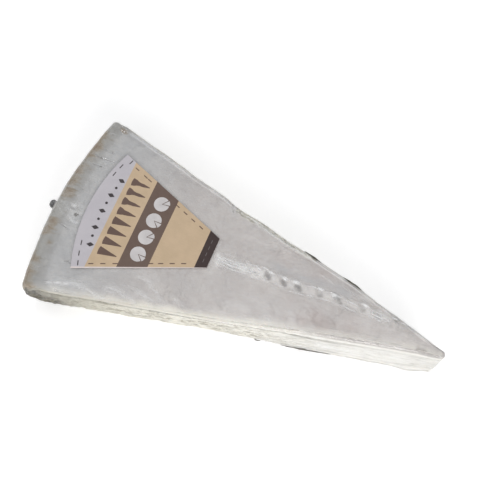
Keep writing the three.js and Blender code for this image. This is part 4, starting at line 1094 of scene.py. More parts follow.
# ---------------------------------------------------------------- film
def film_material():
    k = Mat("clear_film")
    p = k.coord()
    white, shade = k.attr("white"), k.attr("shade")
    fres = k.node("ShaderNodeFresnel")
    k.put(fres.inputs["IOR"], 1.48)
    small = k.noise(p, 2.0, 3.0, 0.55)
    long = k.noise(k.stretched(p, 9.0, 1.3, 1.3), 1.0, 3.0, 0.55)
    n1 = k.bump(k.math("ADD", k.math("MULTIPLY", small, 0.5), k.math("MULTIPLY", long, 0.7)), 0.18, 0.5)
    k.put(fres.inputs["Normal"], n1)
    gloss = k.node("ShaderNodeBsdfGlossy")
    k.put(gloss.inputs["Color"], (1.0, 1.0, 1.0, 1.0))
    k.put(gloss.inputs["Roughness"], 0.13)
    k.put(gloss.inputs["Normal"], n1)
    clear = k.node("ShaderNodeBsdfTransparent")
    k.put(clear.inputs["Color"], (0.985, 0.985, 0.985, 1.0))
    a = k.node("ShaderNodeMixShader")
    open_film = k.math("SUBTRACT", 1.0, k.attr("under"))
    glossy = k.math("MINIMUM", k.math("MULTIPLY", fres.outputs[0], 1.3), k.math("SUBTRACT", 0.10, k.math("MULTIPLY", k.attr("calm"), 0.038)))
    k.put(a.inputs[0], k.math("MULTIPLY", glossy, open_film))
    k.put(a.inputs[1], clear.outputs[0])
    k.put(a.inputs[2], gloss.outputs[0])
    # whitish where it is creased or stands off the cheese, partly a painted highlight; dull grey in the sunk lines as
    # painted shade
    haze = k.node("ShaderNodeBsdfDiffuse")
    k.put(haze.inputs["Color"], k.mix(k.ramp(shade, 0.1, 0.5), srgb(250, 250, 250), srgb(118, 115, 110)))
    cloud = k.ramp(k.noise(k.stretched(p, 3.2, 1.2, 1.2), 4.0, 3.0, 0.55), 0.44, 0.72)
    broad = k.ramp(k.noise(k.stretched(p, 1.5, 1.0, 1.0), 16.0, 2.0, 0.5), 0.40, 0.65)
    share = k.math("ADD", k.math("MULTIPLY", white, 0.50), k.math("MULTIPLY", k.math("MULTIPLY", cloud, broad), 0.20))
    share = k.math("MULTIPLY", k.math("ADD", share, 0.03), k.math("SUBTRACT", 1.0, k.math("MULTIPLY", k.attr("calm"), 0.55)))
    share = k.math("MULTIPLY", share, open_film)
    share = k.math("ADD", share, k.math("MULTIPLY", shade, 0.55), clamp=True)
    b = k.node("ShaderNodeMixShader")
    k.put(b.inputs[0], share)
    k.put(b.inputs[1], a.outputs[0])
    k.put(b.inputs[2], haze.outputs[0])
    return k.surface(b.outputs[0])


def seam_material(name, body_share, rough, shine, cap, white_share):
    """Doubled, crinkled film that fades into the sheet it lies on."""
    k = Mat(name)
    p = k.coord()
    dark, white, fade = k.attr("dark"), k.attr("white"), k.attr("fade")
    fres = k.node("ShaderNodeFresnel")
    k.put(fres.inputs["IOR"], 1.5)
    n1 = k.bump(k.noise(p, 0.8, 3.0, 0.6), 0.12, 0.6)
    k.put(fres.inputs["Normal"], n1)
    gloss = k.node("ShaderNodeBsdfGlossy")
    k.put(gloss.inputs["Color"], (1.0, 1.0, 1.0, 1.0))
    k.put(gloss.inputs["Roughness"], rough)
    k.put(gloss.inputs["Normal"], n1)
    body = k.node("ShaderNodeBsdfDiffuse")
    # painted shade greys the doubled film where dark is set, and painted highlights whiten it where white is set
    k.put(body.inputs["Color"], k.mix(k.ramp(dark, 0.1, 0.8), srgb(252, 252, 252), srgb(118, 114, 112)))
    clear = k.node("ShaderNodeBsdfTransparent")
    k.put(clear.inputs["Color"], (0.98, 0.98, 0.98, 1.0))
    share = k.math("ADD", k.math("MULTIPLY", white, white_share), k.math("MULTIPLY", dark, 0.50))
    share = k.math("MULTIPLY", k.math("ADD", share, body_share, clamp=True), fade)
    a = k.node("ShaderNodeMixShader")
    k.put(a.inputs[0], share)
    k.put(a.inputs[1], clear.outputs[0])
    k.put(a.inputs[2], body.outputs[0])
    b = k.node("ShaderNodeMixShader")
    k.put(b.inputs[0], k.math("MULTIPLY", k.math("MINIMUM", k.math("MULTIPLY", fres.outputs[0], shine), cap), fade))
    k.put(b.inputs[1], a.outputs[0])
    k.put(b.inputs[2], gloss.outputs[0])
    return k.surface(b.outputs[0])


def knot_material():
    k = Mat("shrunken_film_knot")
    p = k.coord()
    n1 = k.bump(k.noise(p, 0.7, 3.0, 0.6), 0.2, 0.7)
    tone = k.mix(k.ramp(k.noise(p, 1.3, 3.0, 0.6), 0.3, 0.7), srgb(84, 84, 86), srgb(146, 146, 146))
    sh = k.principled(Base_Color=tone, Roughness=k.ramp(k.noise(p, 1.1, 2.0), 0.3, 0.7, 0.14, 0.32), Normal=n1, IOR=1.5)
    return k.surface(sh.outputs[0])


# painted shadow: the dark finish of the tucked film edges
def tuck_shadow_material():
    k = Mat("tucked_film_shadow")
    p = k.coord()
    tone = k.mix(k.ramp(k.noise(p, 0.9, 3.0, 0.6), 0.3, 0.7), srgb(72, 68, 62), srgb(108, 103, 95))
    sh = k.principled(Base_Color=tone, Roughness=k.ramp(k.noise(p, 0.8, 2.0), 0.3, 0.7, 0.3, 0.5), IOR=1.48)
    return k.surface(sh.outputs[0])


# ---------------------------------------------------------------- label
def print_material(name, colour, tint, fleck=0.05, rough=0.42):
    """Printed coated paper: a flat ink with the paper's fibres and a little unevenness of the print."""
    k = Mat(name)
    p = k.coord()
    soft = k.noise(p, 7.0, 3.0, 0.55)
    fibre = k.noise(k.stretched(p, 2.2, 0.5, 1.0), 0.8, 3.0, 0.6)
    c = k.mix(k.ramp(soft, 0.3, 0.7), srgb(*colour), srgb(*tint))
    c = k.mix(k.math("MULTIPLY", k.ramp(fibre, 0.5, 0.8), fleck * 4), c, srgb(*[min(255, v + 26) for v in colour]))
    n1 = k.bump(k.math("ADD", k.math("MULTIPLY", fibre, 0.4), soft), 0.08, 0.45)
    r = k.ramp(k.noise(p, 2.0, 3.0), 0.3, 0.7, rough - 0.06, rough + 0.08)
    sh = k.principled(Base_Color=c, Roughness=r, Normal=n1, IOR=1.45)
    k.put(sh.inputs["Specular IOR Level"], 0.35)
    return k.surface(sh.outputs[0])


# =================================================================== pieces
FACES = [*quads.tolist(), *fans.tolist()]
cheese_at = points + normals * cheese_d[:, None]
film_at = points + normals * film_d[:, None]
film_at[:, 2] = np.maximum(film_at[:, 2], 0.02)
cheese_at[:, 2] = np.maximum(cheese_at[:, 2], 0.16)
cheese = make_object(
    "cheese", row(cheese_at), FACES, [cheese_material()],
    attributes={
        "depth": DEPTH, "hole": HOLE, "roll": np.stack([ARC, OVER, Z], -1), "line": np.where(Z > MID, 1.0, 0.5),
        "line_at": LINE_AT, "bloom": BLOOM, "vein": VEIN, "cream_highlight": CREAM_HIGHLIGHT, "seam_shadow": SEAM_SHADOW, "pale": PALE, "corner": CORNER_CRUMB_SHADE,
    },
)
film = make_object("film", row(film_at), FACES, [film_material()], attributes={"white": WHITE, "shade": SHADE, "calm": CALM, "under": UNDER})


def cut_line_v(half, rnd):
    r, w, l = TIP_R - EDGE_TIP * rnd, half - EDGE_HEEL * rnd, TIP_X - HEEL_X
    return r, np.arccos(r / np.hypot(w, l)) - np.arctan2(l, w)


def cut_y_v(side, line, x, z):
    r, a = line
    return TIP_Y + side * (r / np.cos(a) + np.tan(a) * (TIP_X - x) + swell(side, x, z))


CUT_LEN_UP = (THICKNESS - MID - EDGE_HEEL) + EDGE_HEEL * math.pi / 2
CUT_LEN_DOWN = (MID - EDGE_HEEL) + EDGE_HEEL * math.pi / 2


def cut_point(side, x, t):
    """Place and outward direction on a cut: t from 1 at its upper edge to -1 at its foot."""
    x, t = np.broadcast_arrays(np.asarray(x, float), np.asarray(t, float))
    half = HALF_NEAR if side < 0 else HALF_FAR
    height = np.where(t >= 0, THICKNESS - MID, MID)
    straight = height - EDGE_HEEL
    share = straight / (straight + EDGE_HEEL * math.pi / 2)
    a = np.clip((np.abs(t) - share) / (1 - share), 0, 1) * math.pi / 2
    rnd = 1 - np.cos(a)
    z = MID + np.sign(t) * (straight * np.clip(np.abs(t) / share, 0, 1) + EDGE_HEEL * np.sin(a))
    line = cut_line_v(half, rnd)
    y = cut_y_v(side, line, x, z)
    n = np.stack([np.sin(line[1]) * np.cos(a), side * np.cos(line[1]) * np.cos(a), np.sign(t) * np.sin(a)], -1)
    return np.stack([x, y, z - roll_off(x, y, z)], -1), n


def skin(x, y):
    """The film's top, folded on over either edge and down the cut for places beyond it."""
    place = np.stack([x, y, film_top(x, y)], -1)
    out = np.zeros_like(place) + np.array([0.0, 0.0, 1.0])
    for side, line in ((1, TOP_FAR), (-1, TOP_NEAR)):
        e = side * (y - cut_y(side, line, x, THICKNESS)) * math.cos(line[1])
        over, n_over = cut_point(side, x, 1 - np.maximum(e, 0) / CUT_LEN_UP)
        off = (e > 0)[..., None]
        place, out = np.where(off, over, place), np.where(off, n_over, out)
    return place, out


def ribbon(place, out, lift, sink):
    """A closed low sheet from a grid of places: raised by lift, sunk by sink along the outward directions."""
    ns, nq = lift.shape
    top, low = place + out * lift[..., None], place - out * sink
    a = np.arange(ns * nq).reshape(ns, nq)
    b = a + ns * nq
    f = [
        np.stack([a[:-1, :-1], a[1:, :-1], a[1:, 1:], a[:-1, 1:]], -1).reshape(-1, 4),
        np.stack([b[:-1, :-1], b[:-1, 1:], b[1:, 1:], b[1:, :-1]], -1).reshape(-1, 4),
        np.stack([a[:-1, 0], b[:-1, 0], b[1:, 0], a[1:, 0]], -1),
        np.stack([a[:-1, -1], a[1:, -1], b[1:, -1], b[:-1, -1]], -1),
        np.stack([a[0, :-1], a[0, 1:], b[0, 1:], b[0, :-1]], -1),
        np.stack([a[-1, :-1], b[-1, :-1], b[-1, 1:], a[-1, 1:]], -1),
    ]
    return np.concatenate([top.reshape(-1, 3), low.reshape(-1, 3)]), np.concatenate(f)


def sheet(place, out, lift):
    """One layer of film over a grid of places, raised by lift along the outward directions."""
    ns, nq = lift.shape
    a = np.arange(ns * nq).reshape(ns, nq)
    f = np.stack([a[:-1, :-1], a[1:, :-1], a[1:, 1:], a[:-1, 1:]], -1).reshape(-1, 4)
    return (place + out * lift[..., None]).reshape(-1, 3), f


# ---- the folded seam
def seam_piece():
    ns, nq = 470, 44
    x = np.linspace(-18.5, 86.0, ns)[:, None]
    q = np.linspace(-1, 1, nq)[None]
    band = 2.2 + 0.5 * smooth((6 - x) / 14) + 0.25 * noise(x / 4.2, 0.6, 0, 59) - 0.5 * smooth((x - 66) / 14)
    wide = (band + 1.9) * (0.45 + 0.55 * smooth((x + 18.5) / 7))
    centre = SEAM_Y0 + SEAM_SLOPE * x + 0.85 * smooth((x - 22) / 18) + 0.5 * smooth((x - 55) / 10) + 0.25 * noise(x / 9, 0.8, 0, 60)
    off = q * wide
    place, out = skin(x + 0 * q, centre + off)
    wob = 0.4 * noise(x / 1.7, off / 1.7, 0, 58)
    pinch = sum(w * np.exp(-(((x - x0 + 0.42 * off + wob) / (1.30 + 0.55 * w)) ** 2)) for x0, w in PUCKERS)
    puff = sum(w * (bell(x, x0 - 2.6, 1.5) + bell(x, x0 + 2.5, 1.5)) for x0, w in PUCKERS)
    rail = bell(np.abs(off), band, 0.42)
    crinkle = fbm(x / 2.1, off / 1.5, 0, 62, 3)
    fine = ridge(noise(x / 4.2 + off / 3.2, off / 1.0 + x / 5.5, 0, 63), 3.4)
    patchy = smooth(0.15 + 1.5 * noise(x / 2.6, off / 1.8, 0, 67))
    loose = np.clip(smooth((9 - x) / 7) + 0.9 * bell(x, 62, 6.5) + 0.6 * smooth((x - 66) / 6), 0, 1)
    inside = smooth((band + 0.6 - np.abs(off)) / 1.2)
    soft = smooth((wide - np.abs(off)) / 1.7)
    ends = smooth((x + 18.5) / 5) * smooth((86 - x) / 10)
    lift = (
        0.04
        + 0.11 * rail * (0.75 + 0.6 * noise(x / 2.3, q, 0, 64)) * (1 - 0.7 * loose)
        + inside * (0.09 + 0.22 * np.clip(puff, 0, 1) * (1 - (off / 3.0) ** 2))
        - 0.34 * np.clip(pinch, 0, 1) * bell(off, 0.0, 1.5)
        + crinkle * (0.05 + 0.03 * loose)
        + fine * (0.03 + 0.20 * loose * patchy)
    )
    lift = np.maximum(lift, 0.012) * soft * ends + 0.03
    # painted shade in the puckers, and a painted shadow along the seam's far side
    pucker_shade = np.clip(pinch * bell(off, -0.35, 1.75) * (0.95 + 0.45 * noise(x / 1.3, off / 1.2, 0, 68)), 0, 1)
    shadow = 0.14 * bell(off, band + 0.9, 0.7) * smooth((x - 2) / 8) * (1 - loose) * (0.7 + 0.6 * noise(x / 5, 0.2, 0, 69))
    dark = np.clip(1.0 * pucker_shade + shadow + 0.14 * loose * ridge(noise(x / 1.9, off / 1.3, 0, 65), 2.4) * inside, 0, 1)
    glint = glints(x, off)
    # painted highlights: bright rails, crinkles and puffs, and the pucker glints
    white = np.clip(
        rail * 0.48 * (1 - 0.6 * loose) * smooth(0.4 + 1.3 * noise(x / 3.4, q * 1.2, 0, 66))
        + fine * (0.35 + 0.75 * loose) * patchy
        + 0.16 * np.clip(puff, 0, 1) * inside * smooth(0.6 + noise(x / 1.6, off / 1.1, 0, 69))
        , 0, 1,
    ) * (1 - 0.85 * pucker_shade)
    white = np.maximum(white, 1.6 * glint)
    verts, faces = sheet(place, out, lift)
    return verts, faces, {"dark": dark.ravel(), "white": white.ravel(), "fade": (soft * ends).ravel()}


sv, sf, sa = seam_piece()
seam = make_object("film_seam", row(sv), sf.tolist(), [seam_material("crinkled_film", 0.0, 0.10, 1.6, 0.08, 0.60)], attributes=sa)


def rim_path(over):
    """Radius and height over the rim, from its widest level up and on across the top."""
    r = np.where(over > RIM_UP_LEN, TOP_RADIUS - (over - RIM_UP_LEN), 0.0)
    draw, up = rim_up(np.clip(over / RIM_UP_LEN, 0, 1))
    r = np.where(over > RIM_UP_LEN, r, RIM_RADIUS - draw)
    z = np.where(over > RIM_UP_LEN, THICKNESS, MID + up)
    return r, z


def rim_seam_piece():
    ns, nq = 170, 36
    over = np.linspace(24.6, 2.2, ns)
    r, z = rim_path(over)
    f = np.linspace(0, 1, ns)[:, None]
    q = np.linspace(-1, 1, nq)[None]
    wide = lerp(3.0, 1.5, smooth(f * 1.1)) * (1 + 0.12 * noise(over[:, None] / 2.0, 0.4, 0, 71))
    arc = lerp(-3.9, KNOT_ANGLE * RIM_RADIUS, smooth(f)) + q * wide
    a = arc / RIM_RADIUS
    x, y = CENTRE_X - r[:, None] * np.cos(a), r[:, None] * np.sin(a)
    zz = z[:, None] + np.where(over[:, None] > RIM_UP_LEN, top_rise(x, y), 0.0)
    oo = over[:, None]
    fold = ridge(noise(q * (1.5 + 1.2 * f) + oo / 16, oo / 7, 0, 72), 1.6)
    crinkle = fbm(oo / 1.3, q * 1.7, 0, 73, 3)
    soft = smooth((1 - np.abs(q)) / 0.45) * smooth(f / 0.22) * smooth((1 - f) / 0.05 + 0.2)
    lift = np.maximum(0.08 + 0.20 * fold + 0.07 * crinkle, 0.02) * soft + 0.02
    # painted highlights on the folds with a painted glint by the pocket, and painted shade in the crinkles
    white = np.clip(fold * 0.34 * smooth(f / 0.5) + 0.6 * bell(oo, 18.6, 1.3) * bell(q, 0.35, 0.25), 0, 1)
    dark = np.clip(0.55 * ridge(noise(oo / 1.5, q * 1.5, 0, 74), 2.0) * smooth(noise(oo / 3, q, 0, 75) * 2), 0, 1)
    verts, faces = sheet(np.stack([x, y, zz], -1), out_from(r, z, a), lift)
    return verts, faces, {"dark": dark.ravel(), "white": white.ravel(), "fade": soft.ravel()}


def out_from(r, z, a):
    """Outward directions of the rim's profile at each place of a grid."""
    d_r, d_z = np.gradient(r), np.gradient(z)
    d = np.hypot(d_r, d_z)
    # the path runs down and outward, so turning it a quarter gives the outward side
    n_r, n_z = -d_z / d, d_r / d
    flat = np.stack([-np.cos(a) * n_r[:, None], np.sin(a) * n_r[:, None], np.ones_like(a) * n_z[:, None]], -1)
    return flat


rv, rf, ra = rim_seam_piece()
rim_seam = make_object("film_seam_rim", row(rv), rf.tolist(), [seam_material("crinkled_film_rim", 0.03, 0.30, 0.55, 0.06, 0.66)], attributes=ra)


def knot():
    nu, nv = 72, 44
    th = np.linspace(0, 2 * math.pi, nu, endpoint=False)[:, None]
    ph = np.linspace(-math.pi / 2, math.pi / 2, nv)[None, 1:-1]
    d = np.stack([np.cos(ph) * np.cos(th), np.cos(ph) * np.sin(th), np.sin(ph) * np.ones_like(th)], -1)
    dirs = np.concatenate([d.reshape(-1, 3), [[0, 0, -1.0], [0, 0, 1.0]]])
    lump = 1 + 0.09 * fbm(dirs[:, 0] * 1.8, dirs[:, 1] * 1.8, dirs[:, 2] * 1.8, 81, 3) - 0.12 * ridge(
        noise(dirs[:, 0] * 2.4 + 3, dirs[:, 1] * 2.4, dirs[:, 2] * 2.4, 82), 1.6
    )
    # drawn out towards the wedge where the film runs into it
    neck = np.clip(dirs[:, 0], 0, 1) ** 2
    p = dirs * (KNOT_R * 1.22 * lump)[:, None] * np.array([1.1, 1.0, 0.94])
    p[:, 0] += neck * 1.2
    p[:, 1:] *= (1 - 0.25 * neck)[:, None]
    a = np.arange(nu * (nv - 2)).reshape(nu, nv - 2)
    b = np.roll(a, -1, axis=0)
    f = np.stack([a[:, :-1], b[:, :-1], b[:, 1:], a[:, 1:]], -1).reshape(-1, 4).tolist()
    low, high = nu * (nv - 2), nu * (nv - 2) + 1
    for i in range(nu):
        f.append([int(low), int(b[i, 0]), int(a[i, 0])])
        f.append([int(high), int(a[i, -1]), int(b[i, -1])])
    r, z = rim_path(np.array([1.9]))
    r = r + 0.8
    c = np.array([CENTRE_X - r[0] * math.cos(KNOT_ANGLE), r[0] * math.sin(KNOT_ANGLE), z[0]])
    return p + c, f


kv, kf = knot()
knot_piece = make_object("film_knot", row(kv), kf, [knot_material()])


def tuck_shadow_piece(name, side, x0, x1, t0, t1, half, material, seed):
    """A tucked edge of film along a cut, thin, and dark as painted shadow."""
    ns, nq = 90, 9
    f = np.linspace(0, 1, ns)[:, None]
    q = np.linspace(-1, 1, nq)[None]
    x = lerp(x0, x1, f) + 0 * q
    taper = np.sin(math.pi * np.clip(f, 0.01, 0.99)) ** 0.6
    wide = half * taper * (1 + 0.45 * noise(x / 1.7, 0.3, 0, seed))
    length = CUT_LEN_UP if t0 > 0 else CUT_LEN_DOWN
    t = lerp(t0, t1, f) + (q * wide + 0.25 * noise(x / 2.6, 0.9, 0, seed + 1)) / length
    place, out = cut_point(side, x, np.clip(t, -1, 1))
    lift = (0.10 + 0.20 * (1 - q**2)) * taper * (1 + 0.4 * noise(x / 1.1, q, 0, seed + 2))
    verts, faces = ribbon(place, out, lift, 0.08)
    verts[:, 2] = np.maximum(verts[:, 2], 0.03)
    faces = faces if side > 0 else faces[:, ::-1]
    return make_object(name, row(verts), faces.tolist(), [material])


tuck_shadow_look = tuck_shadow_material()
tuck_shadows = [
    tuck_shadow_piece("film_tuck_shadow_far_1", 1, 18.0, 26.5, 0.87, 0.89, 0.48, tuck_shadow_look, 91),
    tuck_shadow_piece("film_tuck_shadow_far_2", 1, 38.0, 47.5, 0.87, 0.89, 0.48, tuck_shadow_look, 94),
    tuck_shadow_piece("film_tuck_shadow_near_1", -1, 12.0, 14.8, -0.70, -0.70, 0.55, tuck_shadow_look, 97),
    tuck_shadow_piece("film_tuck_shadow_near_2", -1, 23.5, 45.5, -0.69, -0.72, 0.62, tuck_shadow_look, 100),
]

def rim_surface(arc, over):
    """Place and outward direction round the heel, on the film."""
    def at(o):
        r, z = rim_path(o)
        a = arc / RIM_RADIUS
        x, y = CENTRE_X - r * np.cos(a), r * np.sin(a)
        return r, x, y, z + np.where(o > RIM_UP_LEN, top_rise(x, y) - roll_off(x, y, np.full_like(x, THICKNESS)), 0.0)
    r, x, y, z = at(over)
    r0, _, _, z0 = at(over - 0.15)
    r1, _, _, z1 = at(over + 0.15)
    d = np.maximum(np.hypot(r1 - r0, z1 - z0), 1e-6)
    n_r, n_z = (z1 - z0) / d, (r0 - r1) / d
    a = arc / RIM_RADIUS
    return np.stack([x, y, z], -1), np.stack([-np.cos(a) * n_r, np.sin(a) * n_r, n_z], -1)


def crease_piece():
    all_v, all_f, base = [], [], 0
    notes = {"dark": [], "white": [], "fade": []}
    for i, (space, _, half, dark, white, lift) in enumerate(CREASES):
        nq = 11
        cx, cy, nx, ny, step, f = crease_line(i)
        q = np.linspace(-1, 1, nq)[None]
        taper = (np.sin(math.pi * np.clip(f, 0.004, 0.996)) ** 0.45)[:, None]
        wide = 1.5 * half * taper * (1 + 0.35 * noise(step / 1.9, 0.1, 0, 402 + 3 * i))[:, None]
        gx, gy = cx[:, None] + nx[:, None] * q * wide, cy[:, None] + ny[:, None] * q * wide
        place, out = rim_surface(gx, gy) if space == "rim" else skin(gx, gy)
        along = step[:, None]
        rough = 0.72 + 0.6 * noise(along / 1.1, q * 1.3, 0, 403 + 3 * i)
        soft = np.clip(1 - q**2, 0, 1) ** 1.3
        raise_by = (0.02 + lift * soft * rough) * taper
        ends = smooth(f / 0.2)[:, None] * smooth((1 - f) / 0.2)[:, None]
        notes["dark"].append((np.clip(dark * 1.15 * bell(q, 0.22, 0.5) * np.clip(rough + 0.25, 0, 1.2), 0, 1) + 0 * along).ravel())
        notes["white"].append((np.clip(white * bell(q, -0.1, 0.42) * rough, 0, 1) + 0 * along).ravel())
        notes["fade"].append((soft * ends).ravel())
        v, fc = sheet(place, out, raise_by)
        turn = np.cross(place[1, 0] - place[0, 0], place[0, 1] - place[0, 0])
        if turn @ out[0, 0] < 0:
            fc = fc[:, ::-1]
        all_v.append(v)
        all_f.append(fc + base)
        base += len(v)
    return np.concatenate(all_v), np.concatenate(all_f), {a: np.concatenate(b) for a, b in notes.items()}


cv, cf, ca = crease_piece()
creases = make_object("film_creases", row(cv), cf.tolist(), [seam_material("creased_film", 0.0, 0.09, 1.4, 0.05, 0.85)], attributes=ca)

# ---- the label: rows of faces that follow the printed strips, each with its own ink
LABEL_LIFT, PAPER = 0.10, 0.14
STRIPS = ((LABEL_CUT, 23.3, 4), (23.3, 42.0, 1), (42.0, 54.6, 2), (54.6, 67.4, 1), (67.4, None, 0))


def label_point(u, v):
    """Working-frame x, y of a place on the label: u along it from its apex, v towards the near side."""
    c, s = math.cos(LABEL_TURN), math.sin(LABEL_TURN)
    return LABEL_X - (u * c - v * s), LABEL_Y - (u * s + v * c)


def label_rise(x, y):
    """How far the label stands off the film: pressed flat, but for its round end."""
    u, v = label_local(x, y)
    return LABEL_LIFT + 0.16 * smooth((np.hypot(u, v) - 69) / 9.5) ** 1.4 + 0.03 * smooth((np.abs(np.arctan2(v, u)) - 0.33) / 0.05)


def label_piece():
    inks = [
        print_material("label_white", (206, 202, 207), (200, 196, 202), 0.05),
        print_material("label_tan", (214, 189, 158), (206, 182, 151), 0.05),
        print_material("label_brown", (114, 96, 86), (110, 91, 82), 0.04),
        print_material("label_paper", (236, 224, 221), (228, 218, 215), 0.06, 0.6),
        print_material("label_dark", (67, 52, 50), (62, 48, 46), 0.03),
    ]
    na = 64
    angles = np.linspace(-LABEL_HALF, LABEL_HALF, na + 1)
    # the print stops short of the near side, which shows as a thin pale edge of bare paper
    angles[-2] = LABEL_HALF - 0.0085
    rows, ink = [], []
    for u0, u1, slot in STRIPS:
        steps = max(2, round(((u1 or LABEL_R) - u0) / 1.3))
        for i in range(steps):
            start = u0 / np.cos(angles)
            end = (u1 / np.cos(angles)) if u1 else np.full(na + 1, LABEL_R)
            rows.append(lerp(start, end, i / steps))
            ink.append(slot)
    rows.append(np.full(na + 1, LABEL_R))
    rr = np.array(rows)
    x, y = label_point(rr * np.cos(angles), rr * np.sin(angles))
    z = film_top(x, y) + label_rise(x, y)
    nr = len(rows)
    verts = np.concatenate([np.stack([x, y, z + PAPER], -1).reshape(-1, 3), np.stack([x, y, z], -1).reshape(-1, 3)])
    a = np.arange(nr * (na + 1)).reshape(nr, na + 1)
    b = a + nr * (na + 1)
    faces, slots = [], []
    for i in range(nr - 1):
        for j in range(na):
            faces.append([a[i + 1, j], a[i + 1, j + 1], a[i, j + 1], a[i, j]])
            slots.append(3 if j == na - 1 else ink[i])
            faces.append([b[i, j], b[i, j + 1], b[i + 1, j + 1], b[i + 1, j]])
            slots.append(3)
    for i in range(nr - 1):
        faces += [[a[i + 1, 0], a[i, 0], b[i, 0], b[i + 1, 0]], [a[i, -1], a[i + 1, -1], b[i + 1, -1], b[i, -1]]]
        slots += [3, 3]
    for j in range(na):
        faces += [[a[0, j], a[0, j + 1], b[0, j + 1], b[0, j]], [b[-1, j], b[-1, j + 1], a[-1, j + 1], a[-1, j]]]
        slots += [3, 3]
    return make_object("label", row(verts), faces, inks, slots, smooth_shade=False)


label = label_piece()


# ---- the label's print: stitches and plain shapes, each a thin closed plate of ink
INK_LIFT, INK = 0.02, 0.05


def plate(outline_uv, ink, store):
    """A convex or star-shaped outline about its first point, listed with that hub first."""
    uv = np.asarray(outline_uv, float)
    x, y = label_point(uv[:, 0], uv[:, 1])
    z = film_top(x, y) + label_rise(x, y) + PAPER
    n = len(uv)
    base = store["n"]
    store["v"].append(np.stack([x, y, z + INK_LIFT], -1))
    store["v"].append(np.stack([x, y, z + INK_LIFT - INK], -1))
    ring = list(range(1, n))
    # which way round the outline runs, seen from above
    area2 = sum(x[i] * y[j] - x[j] * y[i] for i, j in zip(ring, ring[1:] + ring[:1]))
    if area2 < 0:
        ring = ring[::-1]
    for i, j in zip(ring, ring[1:] + ring[:1]):
        store["f"] += [[base, base + i, base + j], [base + n, base + n + j, base + n + i], [base + i, base + n + i, base + n + j, base + j]]
        store["s"] += [ink, ink, ink]
    store["n"] += 2 * n


def turned(points_uv, at, angle):
    c, s = math.cos(angle), math.sin(angle)
    return [(at[0] + u * c - v * s, at[1] + u * s + v * c) for u, v in points_uv]


def dash(at, angle, length, width, ink, store):
    h, w = length / 2, width / 2
    ring = [(-h, -w), (h - w, -w), (h, 0), (h - w, w), (-h, w)]
    plate(turned([(0, 0), *ring], at, angle), ink, store)


def label_print():
    store = {"v": [], "f": [], "s": [], "n": 0}
    DARK, BROWN, PALE, GREY = 0, 1, 2, 3
    inks = [
        print_material("ink_dark", (72, 66, 68), (66, 60, 62), 0.02),
        print_material("ink_brown", (113, 91, 82), (106, 86, 77), 0.03),
        print_material("ink_pale", (208, 204, 204), (224, 220, 220), 0.04),
        print_material("ink_grey", (124, 117, 116), (116, 110, 109), 0.04),
    ]
    # stitches 2 mm inside the outline
    for u, v in ((69.5, -26.3), (72.8, -22.8), (74.1, -18.2), (73.4, 17.0), (72.2, 21.8), (70.7, 26.0)):
        dash((u, v), math.atan2(v, u) + math.pi / 2, 2.4, 0.46, DARK, store)
    side_far = [65.5, 60.4, 58.0, 41.4, 36.9, 32.4, 27.8]
    side_near = [65.4, 60.6, 55.7, 41.4, 37.4, 32.8, 28.2]
    for u in side_far:
        dash((u, -(u * math.tan(LABEL_HALF) - 2.15)), -LABEL_HALF, 2.3, 0.46, BROWN, store)
    for u in side_near:
        dash((u, u * math.tan(LABEL_HALF) - 2.15), LABEL_HALF, 2.3, 0.46, BROWN, store)
    for v in (-4.6, -1.5, 1.6, 4.7):
        dash((20.8, v), math.pi / 2, 1.7, 0.24, GREY, store)
    # a line of lozenges and dots along the round end
    for i in range(-4, 5):
        a = i * 0.0575
        r = 71.4
        at = (r * math.cos(a), r * math.sin(a))
        if i % 2 == 0:
            shape = [(0, 0), (-1.75, 0), (-0.2, -0.95), (0.2, -0.95), (1.75, 0), (0.2, 0.95), (-0.2, 0.95)]
        else:
            shape = [(0, 0), *[(0.62 * math.cos(t * math.pi / 8), 0.62 * math.sin(t * math.pi / 8)) for t in range(16)]]
        plate(turned(shape, at, a), DARK, store)
    # a row of solid portions, all pointing one way, on the upper tan band
    for i in range(8):
        v = -17.8 + i * 5.0
        shape = [(0, 0), *[(4.4 * math.cos(t) - 0.2, 5.2 * math.sin(t)) for t in np.linspace(-0.38, 0.38, 7)], (-4.5, 0.18), (-4.5, -0.18)]
        plate([(60.95 + a, v + b) for a, b in shape], BROWN, store)
    # four round cheeses, each with a portion out, on the brown band
    for i in range(4):
        v = -12.6 + i * 8.4
        gap, turn, rad = 0.42, math.pi + 0.5 - 0.9 * (i % 2), 3.45
        ts = np.linspace(turn + gap, turn + 2 * math.pi - gap, 34)
        hub = (48.3, v)
        rim = [(hub[0] + rad * math.cos(t), hub[1] + rad * math.sin(t)) for t in ts]
        plate([(hub[0] - 0.2 * math.cos(turn), hub[1] - 0.2 * math.sin(turn)), *rim, hub], PALE, store)
        cut = [(hub[0] + 0.55 * math.cos(turn), hub[1] + 0.55 * math.sin(turn))]
        ts = np.linspace(turn - gap * 0.72, turn + gap * 0.72, 8)
        far = [(hub[0] + (rad + 0.3) * math.cos(t), hub[1] + (rad + 0.3) * math.sin(t)) for t in ts]
        mid = (hub[0] + 2.2 * math.cos(turn), hub[1] + 2.2 * math.sin(turn))
        plate([mid, *cut, *far], PALE, store)
    return make_object("label_print", row(np.concatenate(store["v"])), store["f"], inks, store["s"], smooth_shade=False)


prints = label_print()

for piece, slot_name, node in (
    (cheese, "cheese", "wrapped_wedge"),
    (film, "film", "wrapped_wedge"),
    (seam, "film", "wrapped_wedge"),
    (rim_seam, "film", "wrapped_wedge"),
    (knot_piece, "film", "wrapped_wedge"),
    (creases, "film", "wrapped_wedge"),
    *((slit, "film", "wrapped_wedge") for slit in tuck_shadows),
    (label, "label", "paper_label"),
    (prints, "label", "paper_label"),
):
    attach(piece, "root")
    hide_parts(node)

